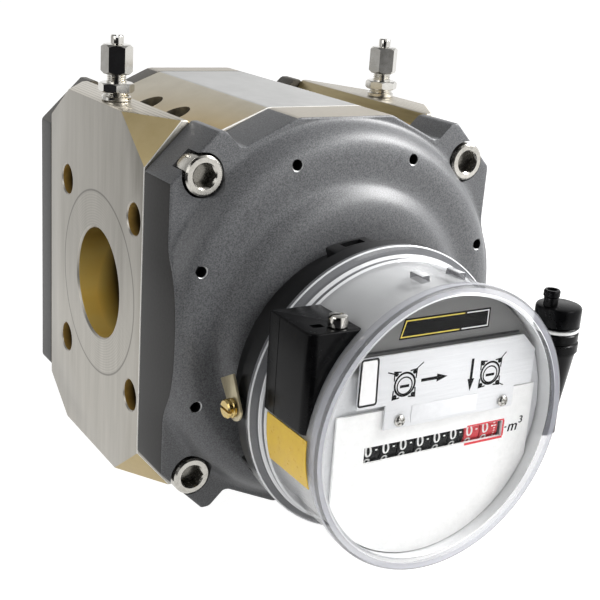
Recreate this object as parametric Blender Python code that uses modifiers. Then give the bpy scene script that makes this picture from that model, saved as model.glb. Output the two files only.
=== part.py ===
"""Rotary gas meter with a swivelling index head.

Two lobed rotors turn in a chamber between two bolted covers. A small gear train and a pair of
magnets carry their motion through the front cover into the index head, which counts it on
eight number wheels under a clear cap. Lengths are in metres. Shapes are worked out with the
pipe axis at z = 0 and the meter's mid plane at x = 0, and finish() lifts them by STAND_HEIGHT,
so that the bottom crown rests on z = 0. The front of the meter looks along -Y.
"""

from math import acos, asin, atan2, cos, pi, radians, sin, sqrt

import bmesh
import bpy
from mathutils import Matrix, Vector

# Housing, a block between two pipe flanges
FACE_TO_FACE = 0.171
HOUSING_FRONT = -0.053
HOUSING_BACK = 0.067
FLANGE_TOP = 0.0885
FLANGE_THICKNESS = 0.0205
FLANGE_WALL_RUN = 0.0035
CROWN_HALF = 0.025
CROWN_HEIGHT = 0.0935
CROWN_FILLET = 0.008
TROUGH_HEIGHT = 0.0825
TROUGH_WIDTH = 0.010
TROUGH_RISE = 0.0003
TROUGH_FILLET = 0.006
FLANGE_FILLET = 0.0025
PORT_RADIUS = 0.0273
BOLT_CIRCLE = 0.12065
BOLT_RADIUS = 0.0075
BOLT_DEPTH = 0.024
FACET_RUN = 0.017
POCKET_RADIUS = 0.0076
POCKET_DEPTH = 0.007
POCKET_X = -0.050
POCKET_PLACES = (0.0255, -0.006)

# Corner facets as depth along the pipe block and height down its face
FACETS = {
    (-1, 1): (0.027, 0.020),
    (1, 1): (0.029, 0.021),
    (-1, -1): (0.026, 0.017),
    (1, -1): (0.043, 0.022),
}

# Covers
FRONT_COVER_DEPTH = 0.027
REAR_COVER_DEPTH = 0.0155
COVER_CHAMFER = 0.0215
COVER_VALLEY = 0.0815
COVER_VALLEY_INNER = 0.0505
COVER_VALLEY_OUTER = 0.0535
COVER_VALLEY_RISE = 0.0002
COVER_VALLEY_FILLET = 0.005
COVER_EAR = 0.0605
COVER_CORNER = 0.003
DOME_INSET = 0.0035
DOME_RIDGE = 0.004
DOME_HEIGHT = 0.0185
DOME_SKIRT = 0.0012
DOME_SINK = 0.004
DOME_EDGE = ((0.0025, 0.0035), (0, 0))
INNER_DOME_RADIUS = 0.0645
INNER_DOME_EDGE = ((0.014, 0), (0.007, 0.0009), (0.003, 0.0033), (0, 0.0065))
DOME_STEP = 0.004
DOME_STEP_DROP = 0.0075
DOME_HOLE_FACE = ((-0.002, 0.0072), (0.003, 0.0083))
DOME_HOLE_INSET = 0.009
DOME_HOLE_RADIUS = 0.0025
DOME_HOLE_DEPTH = 0.006
DOME_HOLE_COUNT = 8
DOME_WALL = 0.004
GEAR_SPACE_RADIUS = 0.040
GEAR_SPACE_DEPTH = 0.006
MAGNET_SPACE_RADIUS = 0.026
REAR_DOME_RADIUS = 0.078
REAR_DOME_HEIGHT = 0.0135
REAR_DOME_SKIRT = 0.001
REAR_DOME_CHAMFER = (0.007, 0.006)
REAR_WALL = 0.005

# Cover screws
FRONT_SCREW_INSET = (0.015, 0.0185)
REAR_SCREW_INSET = (0.0165, 0.020)
SCREW_RADIUS = 0.0058
SCREW_LENGTH = 0.036
SCREW_HEAD_RADIUS = 0.0089
SCREW_HEAD_HEIGHT = 0.012
SCREW_CHAMFER = 0.0008
SOCKET_FLATS = 0.010
SOCKET_DEPTH = 0.006
COUNTERBORE_RADIUS = 0.0099
FRONT_SEAT_DEPTH = 0.0105
REAR_SEAT_DEPTH = 0.008

# Rotors, their shafts, bearings and timing gears
PITCH_RADIUS = 0.0346
CHAMBER_GAP = 0.0001
ROTOR_GAP = 0.0004
PLATE_THICKNESS = 0.009
PLATE_RIM = 0.003
SHAFT_RADIUS = 0.0077
BEARING_RADIUS = 0.014
BEARING_WIDTH = 0.0084
TIMING_TEETH = 20
TIMING_WIDTH = 0.008
PINION_TEETH = 10
WHEEL_TEETH = 20
TRAIN_WIDTH = 0.006
STUB_RADIUS = 0.0022
MAGNET_RADIUS = 0.014
PIN_RADIUS = 0.0024

# Test points on the flange tops
TEST_X = 0.076
TEST_Y = 0.003
WASHER_RADIUS = 0.0070
WASHER_HEIGHT = 0.0020
COLLAR_RADIUS = 0.0062
COLLAR_HEIGHT = 0.0016
BODY_SIDES = 8
BODY_FLATS = 0.0156
BODY_HEIGHT = 0.0044
BODY_CHAMFER = 0.0010
NECK_RADIUS = 0.00475
NECK_HEIGHT = 0.0037
CAP_SIDES = 6
CAP_FLATS = 0.013
CAP_HEIGHT = 0.0136
CAP_CHAMFER = 0.0018
TEST_STEM_HEIGHT = 0.005
TEST_STEM_RELIEF = 0.0005
TEST_PLUG_RADIUS = 0.0031
TEST_PLUG_HEIGHT = 0.0040
TEST_PLUG_CHAMFER = 0.0005
TEST_THREAD_SHARE = 0.7
TEST_THREAD_DEPTH = 0.003
TEST_SLOT_HALF = 0.0005
TEST_SLOT_DEPTH = 0.0012
TEST_SHANK_RADIUS = 0.0046
TEST_SHANK_LENGTH = 0.011

# Turn of each test point's body and of its cap
TEST_TURNS = {
    "left": (radians(-22), radians(-22)),
    "right": (radians(14), radians(-20)),
}

# Index head, centred below the pipe axis
INDEX_Z = -0.0217
BASE_DEPTH = 0.0222
BASE_RADIUS = 0.0612
BASE_RIM_STEP = 0.0052
BASE_FLOOR = 0.0035
BASE_WALL = 0.004
BASE_CHAMFER = 0.0015
BASE_RIM_HEIGHT = 0.0085
BASE_RIM_FLARE = 0.0015
SPINDLE_BOSS = 0.0055
CLIP_HEIGHT = 0.004
CLIP_HALF_ANGLE = radians(9.5)
CLIP_FROM = 0.0025
CLIP_TO = 0.0098
CLIP_OPENING_ANGLES = (-0.09, 0.07)
CLIP_OPENING_FROM = 0.005
CLIP_OPENING_TO = 0.0125
CLIP_ANGLES = (radians(99), radians(219), radians(339))
CAP_LENGTH = 0.050
CAP_STEP = 0.0005
CAP_RIM_OVERHANG = 0.0006
CAP_RIM_STEPS = ((0.0008, 0.0078, 0.0058), (0.002, 0.0052, 0.0030))
CAP_RIM_HEIGHT = 0.0024
CAP_SHOULDER = 0.0085
CAP_RING_STEP = 0.0016
CAP_RING_CHAMFER = 0.0013
CAP_RING_HEIGHT = 0.0052
CAP_RING_FOOT = 0.008
LUG_ANGLES = (80, 97)
LUG_HALF_WIDTH = 0.002
LUG_FROM = 0.014
LUG_TO = 0.0225
LUG_HEIGHT = 0.003
CAP_WALL = 0.0021
FRAME_GAP = 0.0008
FRAME_BACK = 0.032
FRAME_THICKNESS = 0.003
LEG_RADIUS = 0.003
LEG_CIRCLE = 0.050
DIAL_DEPTH = 0.0078
DIAL_THICKNESS = 0.0014
PLATE_GAUGE = 0.0012
SCALE_GAP = 0.0006
SCALE_LEFT = -0.049
SCALE_RIGHT = 0.054
SPINDLE_RADIUS = 0.0023

# Number wheels behind their window
NUMBER_WHEELS = 8
NUMBER_RADIUS = 0.0095
NUMBER_PITCH = 0.0088
NUMBER_GAP = 0.0004
LAST_WHEEL_EXTRA = 0.0016
NUMBER_LEFT = -0.034
NUMBER_DROP = 0.0083
AXLE_RADIUS = 0.0019
WINDOW_HALF_HEIGHT = 0.0036
CHEEK_THICKNESS = 0.0026
CHEEK_HEIGHT = 0.019
TRANSFER_RADIUS = 0.003
TRANSFER_SHAFT = 0.0012

# Information panel
PANEL_LEFT = -0.041
PANEL_RIGHT = 0.0505
PANEL_TOP = 0.0352
PANEL_CORNER = 0.0075
PANEL_LEFT_STEP = 0.0134
PANEL_RIGHT_STEP = 0.0120
PANEL_BOTTOM = 0.0025
PANEL_TAB_LEFT = -0.027
PANEL_TAB_RIGHT = 0.041
PANEL_SCREW_X = (-0.0195, 0.0352)
PANEL_SCREW_Z = 0.0058
PANEL_SCREW_RADIUS = 0.0026
PANEL_SHANK_RADIUS = 0.0011

# Fittings on the index head
PLUG_OVERHANG = 0.0018
PLUG_WIDTH = 0.0255
PLUG_SETBACK = 0.0096
PLUG_LENGTH = 0.032
PLUG_TOP = 0.0255
PLUG_BOTTOM = -0.017
SEAL_SCREW_INSET = (0.0155, 0.0055)
SEAL_SCREW_RADIUS = 0.004
SEAL_SCREW_HEIGHT = 0.0048
SEAL_SHANK_LENGTH = 0.0035
LABEL_GAUGE = 0.0004
LABEL_BACK_GAP = 0.010
LABEL_FRONT_GAP = 0.009
LABEL_FROM = radians(177)
LABEL_TO = radians(197)
TAB_SETBACK = 0.0058
TAB_DROP = 0.0003
TAB_GAUGE = 0.0012
TAB_HUB_RADIUS = 0.006
TAB_REACH = ((0.0133, 0.0084), (0.0025, 0.0143))
TAB_BOSS_RADIUS = 0.0048
TAB_BOSS_HEIGHT = 0.0014
TAB_HOLE_DEPTH = 0.0045
TAB_SCREW_RADIUS = 0.0043
TAB_SCREW_HEIGHT = 0.0042
TAB_SHANK_RADIUS = 0.0024
CARTRIDGE_REACH = 0.0163
CARTRIDGE_SETBACK = 0.0236
CARTRIDGE_RADIUS = 0.0105
CARTRIDGE_TOP = 0.018
CARTRIDGE_CAP_HEIGHT = 0.010
CARTRIDGE_BOTTOM = -0.045
SPOUT_RADIUS = 0.00375
SPOUT_HEIGHT = 0.0075
SPOUT_OFFSET = 0.0055

# Fits
SEAT = 0.0003
RUNNING = 0.0003

# Values that follow from the sizes above
STAND_HEIGHT = CROWN_HEIGHT
HALF_LENGTH = FACE_TO_FACE / 2
FLANGE_INNER = HALF_LENGTH - FLANGE_THICKNESS
TROUGH_OUTER = FLANGE_INNER - FLANGE_WALL_RUN
TROUGH_INNER = TROUGH_OUTER - TROUGH_WIDTH
BOLT_OFFSET = BOLT_CIRCLE / 2 * sqrt(0.5)
CHAMBER_RADIUS = 1.5 * PITCH_RADIUS + CHAMBER_GAP
PLATE_RADIUS = CHAMBER_RADIUS + PLATE_RIM
COVER_BACK = HOUSING_FRONT - SEAT
COVER_FACE = COVER_BACK - FRONT_COVER_DEPTH
DOME_FACE = -COVER_FACE + DOME_HEIGHT
DOME_RADIUS = CROWN_HEIGHT - DOME_INSET
DOME_HOLE_CIRCLE = DOME_RADIUS - DOME_HOLE_INSET
REAR_COVER_FRONT = HOUSING_BACK + SEAT
REAR_COVER_FACE = REAR_COVER_FRONT + REAR_COVER_DEPTH
BASE_BACK = DOME_FACE + SEAT
BASE_FRONT = BASE_BACK + BASE_DEPTH
BASE_RIM_RADIUS = BASE_RADIUS + BASE_RIM_STEP
CLIP_RADIUS = BASE_RADIUS + CLIP_HEIGHT
CAP_RADIUS = BASE_RADIUS + CAP_STEP
CAP_RIM_RADIUS = BASE_RIM_RADIUS + CAP_RIM_OVERHANG
CAP_RING_RADIUS = CAP_RADIUS + CAP_RING_STEP
FRAME_RADIUS = CAP_RADIUS - CAP_WALL - FRAME_GAP
SCALE_RADIUS = CAP_RADIUS - CAP_WALL - SCALE_GAP
CAP_BACK = BASE_FRONT + SEAT
CAP_FRONT = CAP_BACK + CAP_LENGTH
DIAL_BACK = CAP_FRONT - CAP_WALL - DIAL_DEPTH - DIAL_THICKNESS
SCALE_BACK = DIAL_BACK + DIAL_THICKNESS + SEAT
PANEL_BACK = SCALE_BACK + PLATE_GAUGE + SEAT
NUMBER_AXIS = SCALE_BACK - SEAT - NUMBER_RADIUS
NUMBER_RIGHT = NUMBER_LEFT + NUMBER_WHEELS * NUMBER_PITCH + LAST_WHEEL_EXTRA
TRANSFER_AXIS = NUMBER_AXIS - NUMBER_RADIUS - TRANSFER_RADIUS - SEAT
TAB_DEPTH = BASE_FRONT - TAB_SETBACK
TAB_Z = INDEX_Z - TAB_DROP
TAB_TIP = [(along - TAB_DEPTH, TAB_Z + up) for along, up in TAB_REACH]
PLUG_LEFT = -CAP_RADIUS - PLUG_OVERHANG
PLUG_RIGHT = PLUG_LEFT + PLUG_WIDTH
PLUG_FRONT = CAP_FRONT - PLUG_SETBACK
PLUG_BACK = PLUG_FRONT - PLUG_LENGTH
SEAL_SCREW_X = PLUG_LEFT + SEAL_SCREW_INSET[0]
SEAL_SCREW_DEPTH = PLUG_FRONT - SEAL_SCREW_INSET[1]
CARTRIDGE_X = CAP_RADIUS + CARTRIDGE_REACH
CARTRIDGE_DEPTH = CAP_FRONT - CARTRIDGE_SETBACK


def screw_places(inset):
    """The four cover screws as places over the pipe axis, set in from the flange faces and tops."""
    x, z = HALF_LENGTH - inset[0], FLANGE_TOP - inset[1]
    return [(side * x, up * z) for up in (1, -1) for side in (-1, 1)]


FRONT_SCREWS = screw_places(FRONT_SCREW_INSET)
REAR_SCREWS = screw_places(REAR_SCREW_INSET)

# Finishes as colour, roughness and metallic value
FINISHES = {
    "milled_aluminium": ((0.50, 0.47, 0.42), 0.35, 1.0),
    "coated_aluminium": ((0.17, 0.175, 0.18), 0.55, 0.3),
    "bright_steel": ((0.62, 0.61, 0.59), 0.22, 1.0),
    "nickel": ((0.68, 0.67, 0.64), 0.18, 1.0),
    "rotor_aluminium": ((0.60, 0.61, 0.62), 0.30, 1.0),
    "brass": ((0.55, 0.40, 0.13), 0.30, 1.0),
    "black_plastic": ((0.012, 0.012, 0.013), 0.38, 0.0),
    "clear_plastic": ((0.90, 0.93, 0.95), 0.05, 0.0),
    "grey_plastic": ((0.30, 0.30, 0.30), 0.45, 0.0),
    "white_plastic": ((0.86, 0.86, 0.85), 0.45, 0.0),
    "red_plastic": ((0.60, 0.02, 0.03), 0.40, 0.0),
    "yellow_film": ((0.85, 0.62, 0.03), 0.40, 0.0),
    "magnet": ((0.05, 0.05, 0.055), 0.35, 0.8),
}

FACING_FRONT = Matrix.Rotation(radians(90), 4, "X")
FACING_RIGHT = Matrix.Rotation(radians(90), 4, "Y")
PARTS = bpy.data.collections.new("rotary_gas_meter")


def clear_scene():
    for item in list(bpy.data.objects):
        bpy.data.objects.remove(item, do_unlink=True)
    bpy.context.scene.collection.children.link(PARTS)


def evaluated_mesh(item):
    """The mesh of an object with its modifiers, after which the object is removed."""
    bpy.context.scene.collection.objects.link(item)
    bpy.context.view_layer.update()
    graph = bpy.context.evaluated_depsgraph_get()
    mesh = bpy.data.meshes.new_from_object(item.evaluated_get(graph))
    bpy.data.objects.remove(item, do_unlink=True)
    return mesh


def tidy(mesh):
    """Weld a mesh's loose seams and turn its faces outwards."""
    work = bmesh.new()
    work.from_mesh(mesh)
    bmesh.ops.remove_doubles(work, verts=work.verts, dist=1e-6)
    bmesh.ops.recalc_face_normals(work, faces=work.faces)
    work.to_mesh(mesh)
    work.free()
    return mesh


def prism(outline, start, end, placing=FACING_FRONT):
    """An outline drawn in X and Z, extruded from depth start to depth end along -Y."""
    curve = bpy.data.curves.new("outline", "CURVE")
    curve.dimensions = "2D"
    curve.fill_mode = "BOTH"
    curve.extrude = (end - start) / 2
    spline = curve.splines.new("POLY")
    spline.points.add(len(outline) - 1)
    for point, (x, z) in zip(spline.points, outline):
        point.co = (x, z, 0, 1)
    spline.use_cyclic_u = True
    mesh = tidy(evaluated_mesh(bpy.data.objects.new("outline", curve)))
    mesh.transform(placing @ Matrix.Translation((0, 0, (start + end) / 2)))
    return mesh


def turned(profile, steps=32, placing=FACING_FRONT, at=(0, 0)):
    """A profile of radius and height, turned about a line through the point at."""
    work = bmesh.new()
    points = [work.verts.new((radius, 0, height)) for radius, height in profile]
    for first, second in zip(points, points[1:]):
        work.edges.new((first, second))
    if profile[0][0] > 0:
        work.edges.new((points[-1], points[0]))
    mesh = bpy.data.meshes.new("turned")
    work.to_mesh(mesh)
    work.free()
    item = bpy.data.objects.new("turned", mesh)
    screw = item.modifiers.new("turn", "SCREW")
    screw.steps = steps
    screw.render_steps = steps
    screw.use_merge_vertices = True
    screw.merge_threshold = 1e-5
    mesh = tidy(evaluated_mesh(item))
    mesh.transform(placing @ Matrix.Translation((at[0], at[1], 0)))
    return mesh


def rod(radius, start, end, steps=24, placing=FACING_FRONT, at=(0, 0)):
    profile = [(0, end), (radius, end), (radius, start), (0, start)]
    return turned(profile, steps, placing, at)


def ring(radius, bore, start, end, steps=32, placing=FACING_FRONT, at=(0, 0)):
    profile = [(radius, end), (radius, start), (bore, start), (bore, end)]
    return turned(profile, steps, placing, at)


def box(low, high):
    work = bmesh.new()
    bmesh.ops.create_cube(work, size=1)
    low, high = Vector(low), Vector(high)
    size = high - low
    bmesh.ops.transform(work, verts=work.verts, matrix=Matrix.Diagonal((*size, 1)))
    bmesh.ops.translate(work, verts=work.verts, vec=(low + high) / 2)
    mesh = bpy.data.meshes.new("box")
    work.to_mesh(mesh)
    work.free()
    return mesh


def boolean(mesh, operation, tools):
    """One mesh joined with, or cut by, each of the tools in turn."""
    for tool in tools:
        cutter = bpy.data.objects.new("cutter", tool)
        bpy.context.scene.collection.objects.link(cutter)
        item = bpy.data.objects.new("shape", mesh)
        step = item.modifiers.new(operation.lower(), "BOOLEAN")
        step.operation = operation
        step.solver = "EXACT"
        step.object = cutter
        mesh = evaluated_mesh(item)
        bpy.data.objects.remove(cutter, do_unlink=True)
    return tidy(mesh)


def cut(mesh, *tools):
    return boolean(mesh, "DIFFERENCE", tools)


def join(mesh, *tools):
    return boolean(mesh, "UNION", tools)


def bevelled(mesh, width, angle=radians(40)):
    item = bpy.data.objects.new("bevel", mesh)
    step = item.modifiers.new("bevel", "BEVEL")
    step.width = width
    step.segments = 1
    step.limit_method = "ANGLE"
    step.angle_limit = angle
    return tidy(evaluated_mesh(item))


def finish(name, mesh, finish_name, pivot=(0, 0, 0)):
    """Put a finished mesh in the part as a named object with its own material."""
    colour, roughness, metallic = FINISHES[finish_name]
    surface = bpy.data.materials.new(name)
    surface.use_nodes = True
    shader = surface.node_tree.nodes["Principled BSDF"]
    shader.inputs["Base Color"].default_value = (*colour, 1)
    shader.inputs["Roughness"].default_value = roughness
    shader.inputs["Metallic"].default_value = metallic
    if finish_name == "clear_plastic":
        shader.inputs["Alpha"].default_value = 0.3
    mesh = mesh.copy()
    mesh.transform(Matrix.Translation(-Vector(pivot)))
    mesh.materials.clear()
    mesh.materials.append(surface)
    mesh.shade_smooth()
    mesh.set_sharp_from_angle(angle=radians(35))
    item = bpy.data.objects.new(name, mesh)
    item.location = Vector(pivot) + Vector((0, 0, STAND_HEIGHT))
    PARTS.objects.link(item)
    return item


def arc(centre, radius, start, end, steps):
    span = [start + (end - start) * step / steps for step in range(steps + 1)]
    return [(centre[0] + radius * cos(a), centre[1] + radius * sin(a)) for a in span]


def rounded(corners, steps=2):
    """An outline from corners of x, z and fillet radius."""
    outline = []
    for index, (x, z, radius) in enumerate(corners):
        before = Vector(corners[index - 1][:2]) - Vector((x, z))
        after = Vector(corners[(index + 1) % len(corners)][:2]) - Vector((x, z))
        if radius == 0:
            outline.append((x, z))
            continue
        half = before.angle(after) / 2
        reach = radius / sin(half)
        middle = Vector((x, z)) + (before.normalized() + after.normalized()).normalized() * reach
        first = Vector((x, z)) + before.normalized() * radius / abs(sin(half) / cos(half))
        last = Vector((x, z)) + after.normalized() * radius / abs(sin(half) / cos(half))
        start = atan2(first.y - middle.y, first.x - middle.x)
        end = atan2(last.y - middle.y, last.x - middle.x)
        end -= 2 * pi * round((end - start) / (2 * pi))
        outline += arc(middle, radius, start, end, steps)
    return outline


def four_ways(chain):
    """A closed set of corners from those of the upper right quarter, crown first."""
    lower_right = [(x, -z, radius) for x, z, radius in reversed(chain)]
    lower_left = [(-x, -z, radius) for x, z, radius in chain]
    upper_left = [(-x, z, radius) for x, z, radius in reversed(chain)]
    return chain + lower_right + lower_left + upper_left


def figure_eight(radius, steps=18):
    """The outline around two circles, one on each rotor axis, with its flats on the circles."""
    half_step = (pi / 2 + asin(PITCH_RADIUS / radius)) / steps
    corner = radius / cos(half_step)
    reach = asin(PITCH_RADIUS / corner)
    upper = arc((0, PITCH_RADIUS), corner, -reach, pi + reach, steps)
    lower = arc((0, -PITCH_RADIUS), corner, pi - reach, 2 * pi + reach, steps)
    return upper + lower[1:-1]


def corner_cutter(side, depth_side, up, run, depth, drop):
    """A block whose face is the facet across one corner of the housing."""
    front = HOUSING_FRONT if depth_side < 0 else HOUSING_BACK
    corner = Vector((side * HALF_LENGTH, front, up * FLANGE_TOP))
    middle = corner - Vector((side * run, depth_side * depth, up * drop)) / 3
    outward = Vector((side / run, depth_side / depth, up / drop)).normalized()
    reach = 4 * max(run, depth, drop)
    block = box((-reach / 2, -reach / 2, 0), (reach / 2, reach / 2, reach))
    turn = Vector((0, 0, 1)).rotation_difference(outward).to_matrix().to_4x4()
    block.transform(Matrix.Translation(middle) @ turn)
    return block


def build_housing():
    chain = [
        (CROWN_HALF, CROWN_HEIGHT, CROWN_FILLET),
        (TROUGH_INNER, TROUGH_HEIGHT, TROUGH_FILLET),
        (TROUGH_OUTER, TROUGH_HEIGHT + TROUGH_RISE, FLANGE_FILLET),
        (FLANGE_INNER, FLANGE_TOP, FLANGE_FILLET),
        (HALF_LENGTH, FLANGE_TOP, 0),
    ]
    block = prism(rounded(four_ways(chain)), -HOUSING_BACK, -HOUSING_FRONT)
    tools = []
    for (depth_side, up), (depth, drop) in FACETS.items():
        for side in (-1, 1):
            tools.append(corner_cutter(side, depth_side, up, FACET_RUN, depth, drop))
    chamber = figure_eight(CHAMBER_RADIUS)
    tools.append(prism(chamber, -HOUSING_BACK - SEAT, -HOUSING_FRONT + SEAT))
    tools.append(rod(PORT_RADIUS, -HALF_LENGTH - SEAT, HALF_LENGTH + SEAT, 32, FACING_RIGHT))
    for side in (-1, 1):
        ends = sorted((side * (HALF_LENGTH - BOLT_DEPTH), side * (HALF_LENGTH + SEAT)))
        for up in (-1, 1):
            for depth_side in (-1, 1):
                place = (up * BOLT_OFFSET, depth_side * BOLT_OFFSET)
                tools.append(rod(BOLT_RADIUS, *ends, 16, FACING_RIGHT, place))
        place = (side * TEST_X, TEST_Y)
        low = FLANGE_TOP - TEST_SHANK_LENGTH - SEAT
        high = FLANGE_TOP + SEAT
        tools.append(rod(TEST_SHANK_RADIUS + SEAT, low, high, 10, Matrix(), place))
    for place in FRONT_SCREWS:
        front_end = -HOUSING_FRONT - SCREW_LENGTH + FRONT_COVER_DEPTH - FRONT_SEAT_DEPTH - SEAT
        tools.append(rod(SCREW_RADIUS + SEAT, front_end, -HOUSING_FRONT + SEAT, 10, at=place))
    for place in REAR_SCREWS:
        rear_end = -HOUSING_BACK + SCREW_LENGTH - REAR_COVER_DEPTH + REAR_SEAT_DEPTH + SEAT
        tools.append(rod(SCREW_RADIUS + SEAT, -HOUSING_BACK - SEAT, rear_end, 10, at=place))
    for y in POCKET_PLACES:
        low = TROUGH_HEIGHT - POCKET_DEPTH
        tools.append(rod(POCKET_RADIUS, low, CROWN_HEIGHT, 18, Matrix(), (POCKET_X, y)))
    finish("meter_housing", cut(block, *tools), "milled_aluminium")


def cover_outline():
    chain = [
        (CROWN_HALF, CROWN_HEIGHT, CROWN_FILLET),
        (COVER_VALLEY_INNER, COVER_VALLEY, COVER_VALLEY_FILLET),
        (COVER_VALLEY_OUTER, COVER_VALLEY + COVER_VALLEY_RISE, COVER_VALLEY_FILLET / 2),
        (COVER_EAR, FLANGE_TOP, COVER_CORNER),
        (HALF_LENGTH - COVER_CHAMFER, FLANGE_TOP, COVER_CORNER / 2),
        (HALF_LENGTH, FLANGE_TOP - COVER_CHAMFER, COVER_CORNER),
    ]
    return rounded(four_ways(chain))


def side_trimmers(reach):
    """Blocks that trim a dome flush with the flange faces."""
    low = HALF_LENGTH
    return [box((s * low if s > 0 else -reach, -reach, -reach),
                (reach if s > 0 else -low, reach, reach)) for s in (-1, 1)]


def build_front_cover():
    plate = prism(cover_outline(), -COVER_BACK, -COVER_FACE)
    face = -COVER_FACE
    top = DOME_FACE
    skirt = DOME_RADIUS + DOME_SKIRT
    profile = [(0, top)]
    profile += [(INNER_DOME_RADIUS - inward, top - drop) for inward, drop in INNER_DOME_EDGE]
    profile += [(INNER_DOME_RADIUS + DOME_STEP, top - DOME_STEP_DROP)]
    profile += [(DOME_HOLE_CIRCLE + outward, top - drop) for outward, drop in DOME_HOLE_FACE]
    profile += [(DOME_RADIUS - inward, face + DOME_RIDGE + rise) for inward, rise in DOME_EDGE]
    profile += [(skirt, face - DOME_SINK / 4), (skirt, face - DOME_SINK), (0, face - DOME_SINK)]
    dome = turned(profile, 40)
    cover = join(plate, cut(dome, *side_trimmers(0.2)))
    nose = (0, INDEX_Z)
    seat = -COVER_BACK + PLATE_THICKNESS / 2
    recess = figure_eight(PLATE_RADIUS + SEAT)
    tools = [
        prism(recess, -COVER_BACK - SEAT, -COVER_BACK + PLATE_THICKNESS + SEAT),
        rod(GEAR_SPACE_RADIUS, seat, face + GEAR_SPACE_DEPTH, 20),
        rod(MAGNET_SPACE_RADIUS, seat, top - DOME_WALL, 18, at=nose),
        rod(PIN_RADIUS + RUNNING, seat, top - DOME_WALL / 2, 10, at=nose),
    ]
    for place in FRONT_SCREWS:
        tools.append(rod(COUNTERBORE_RADIUS, face - FRONT_SEAT_DEPTH, top, 20, at=place))
        tools.append(rod(SCREW_RADIUS + SEAT, -COVER_BACK - SEAT, top, 10, at=place))
    for index in range(DOME_HOLE_COUNT):
        angle = (index + 0.5) * 2 * pi / DOME_HOLE_COUNT
        place = (DOME_HOLE_CIRCLE * cos(angle), DOME_HOLE_CIRCLE * sin(angle))
        floor = top - DOME_STEP_DROP - DOME_HOLE_DEPTH
        tools.append(rod(DOME_HOLE_RADIUS, floor, top, 10, at=place))
    finish("front_cover", cut(cover, *tools), "coated_aluminium")


def build_rear_cover():
    plate = prism(cover_outline(), -REAR_COVER_FACE, -REAR_COVER_FRONT)
    face = -REAR_COVER_FACE
    back = face - REAR_DOME_HEIGHT
    skirt = REAR_DOME_RADIUS + REAR_DOME_SKIRT
    inward, rise = REAR_DOME_CHAMFER
    dome = turned([
        (0, face + DOME_SINK),
        (skirt, face + DOME_SINK),
        (skirt, face),
        (REAR_DOME_RADIUS, back + rise),
        (REAR_DOME_RADIUS - inward, back),
        (0, back),
    ], 28)
    cover = join(plate, dome)
    space = PITCH_RADIUS * (1 + 2 / TIMING_TEETH) + RUNNING
    start = -REAR_COVER_FRONT
    seat = start - PLATE_THICKNESS / 2
    tools = [
        prism(figure_eight(PLATE_RADIUS + SEAT), start - PLATE_THICKNESS - SEAT, start + SEAT),
        prism(figure_eight(space, 14), back + REAR_WALL, seat),
    ]
    for place in REAR_SCREWS:
        tools.append(rod(COUNTERBORE_RADIUS, back, face + REAR_SEAT_DEPTH, 16, at=place))
        tools.append(rod(SCREW_RADIUS + SEAT, back, start + SEAT, 10, at=place))
    finish("rear_cover", cut(cover, *tools), "coated_aluminium")


def build_bearing_plates():
    starts = {"front": -COVER_BACK, "rear": -REAR_COVER_FRONT - PLATE_THICKNESS}
    for end, start in starts.items():
        plate = prism(figure_eight(PLATE_RADIUS), start, start + PLATE_THICKNESS)
        bores = []
        for up, side in ((1, "upper"), (-1, "lower")):
            place = (0, up * PITCH_RADIUS)
            through = (start - SEAT, start + PLATE_THICKNESS + SEAT)
            bores.append(rod(BEARING_RADIUS + SEAT, *through, 14, at=place))
            middle = start + PLATE_THICKNESS / 2
            bearing = ring(BEARING_RADIUS, SHAFT_RADIUS + RUNNING, middle - BEARING_WIDTH / 2,
                           middle + BEARING_WIDTH / 2, 14, at=place)
            finish(f"{end}_bearing_{side}", bearing, "bright_steel")
        finish(f"{end}_bearing_plate", cut(plate, *bores), "rotor_aluminium")


def socket_screw():
    """A socket cap screw with its seat at depth zero, its head towards the front."""
    head = turned([
        (0, SCREW_HEAD_HEIGHT),
        (SCREW_HEAD_RADIUS - SCREW_CHAMFER, SCREW_HEAD_HEIGHT),
        (SCREW_HEAD_RADIUS, SCREW_HEAD_HEIGHT - SCREW_CHAMFER),
        (SCREW_HEAD_RADIUS, 0),
        (SCREW_RADIUS, 0),
        (SCREW_RADIUS, SCREW_CHAMFER - SCREW_LENGTH),
        (SCREW_RADIUS - SCREW_CHAMFER, -SCREW_LENGTH),
        (0, -SCREW_LENGTH),
    ], 14)
    hexagon = arc((0, 0), SOCKET_FLATS / sqrt(3), 0, 2 * pi, 6)[:-1]
    return cut(head, prism(hexagon, SCREW_HEAD_HEIGHT - SOCKET_DEPTH, SCREW_HEAD_HEIGHT + SEAT))


def build_cover_screws():
    screw = socket_screw()
    turned_back = screw.copy()
    turned_back.transform(Matrix.Rotation(pi, 4, "Z"))
    front_seat = COVER_FACE + FRONT_SEAT_DEPTH - SEAT
    rear_seat = REAR_COVER_FACE - REAR_SEAT_DEPTH + SEAT
    names = ("upper_left", "upper_right", "lower_left", "lower_right")
    for name, (x, z) in zip(names, FRONT_SCREWS):
        front = screw.copy()
        front.transform(Matrix.Translation((x, front_seat, z)))
        finish(f"front_screw_{name}", front, "bright_steel")
    for name, (x, z) in zip(names, REAR_SCREWS):
        rear = turned_back.copy()
        rear.transform(Matrix.Translation((x, rear_seat, z)))
        finish(f"rear_screw_{name}", rear, "bright_steel")


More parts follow.
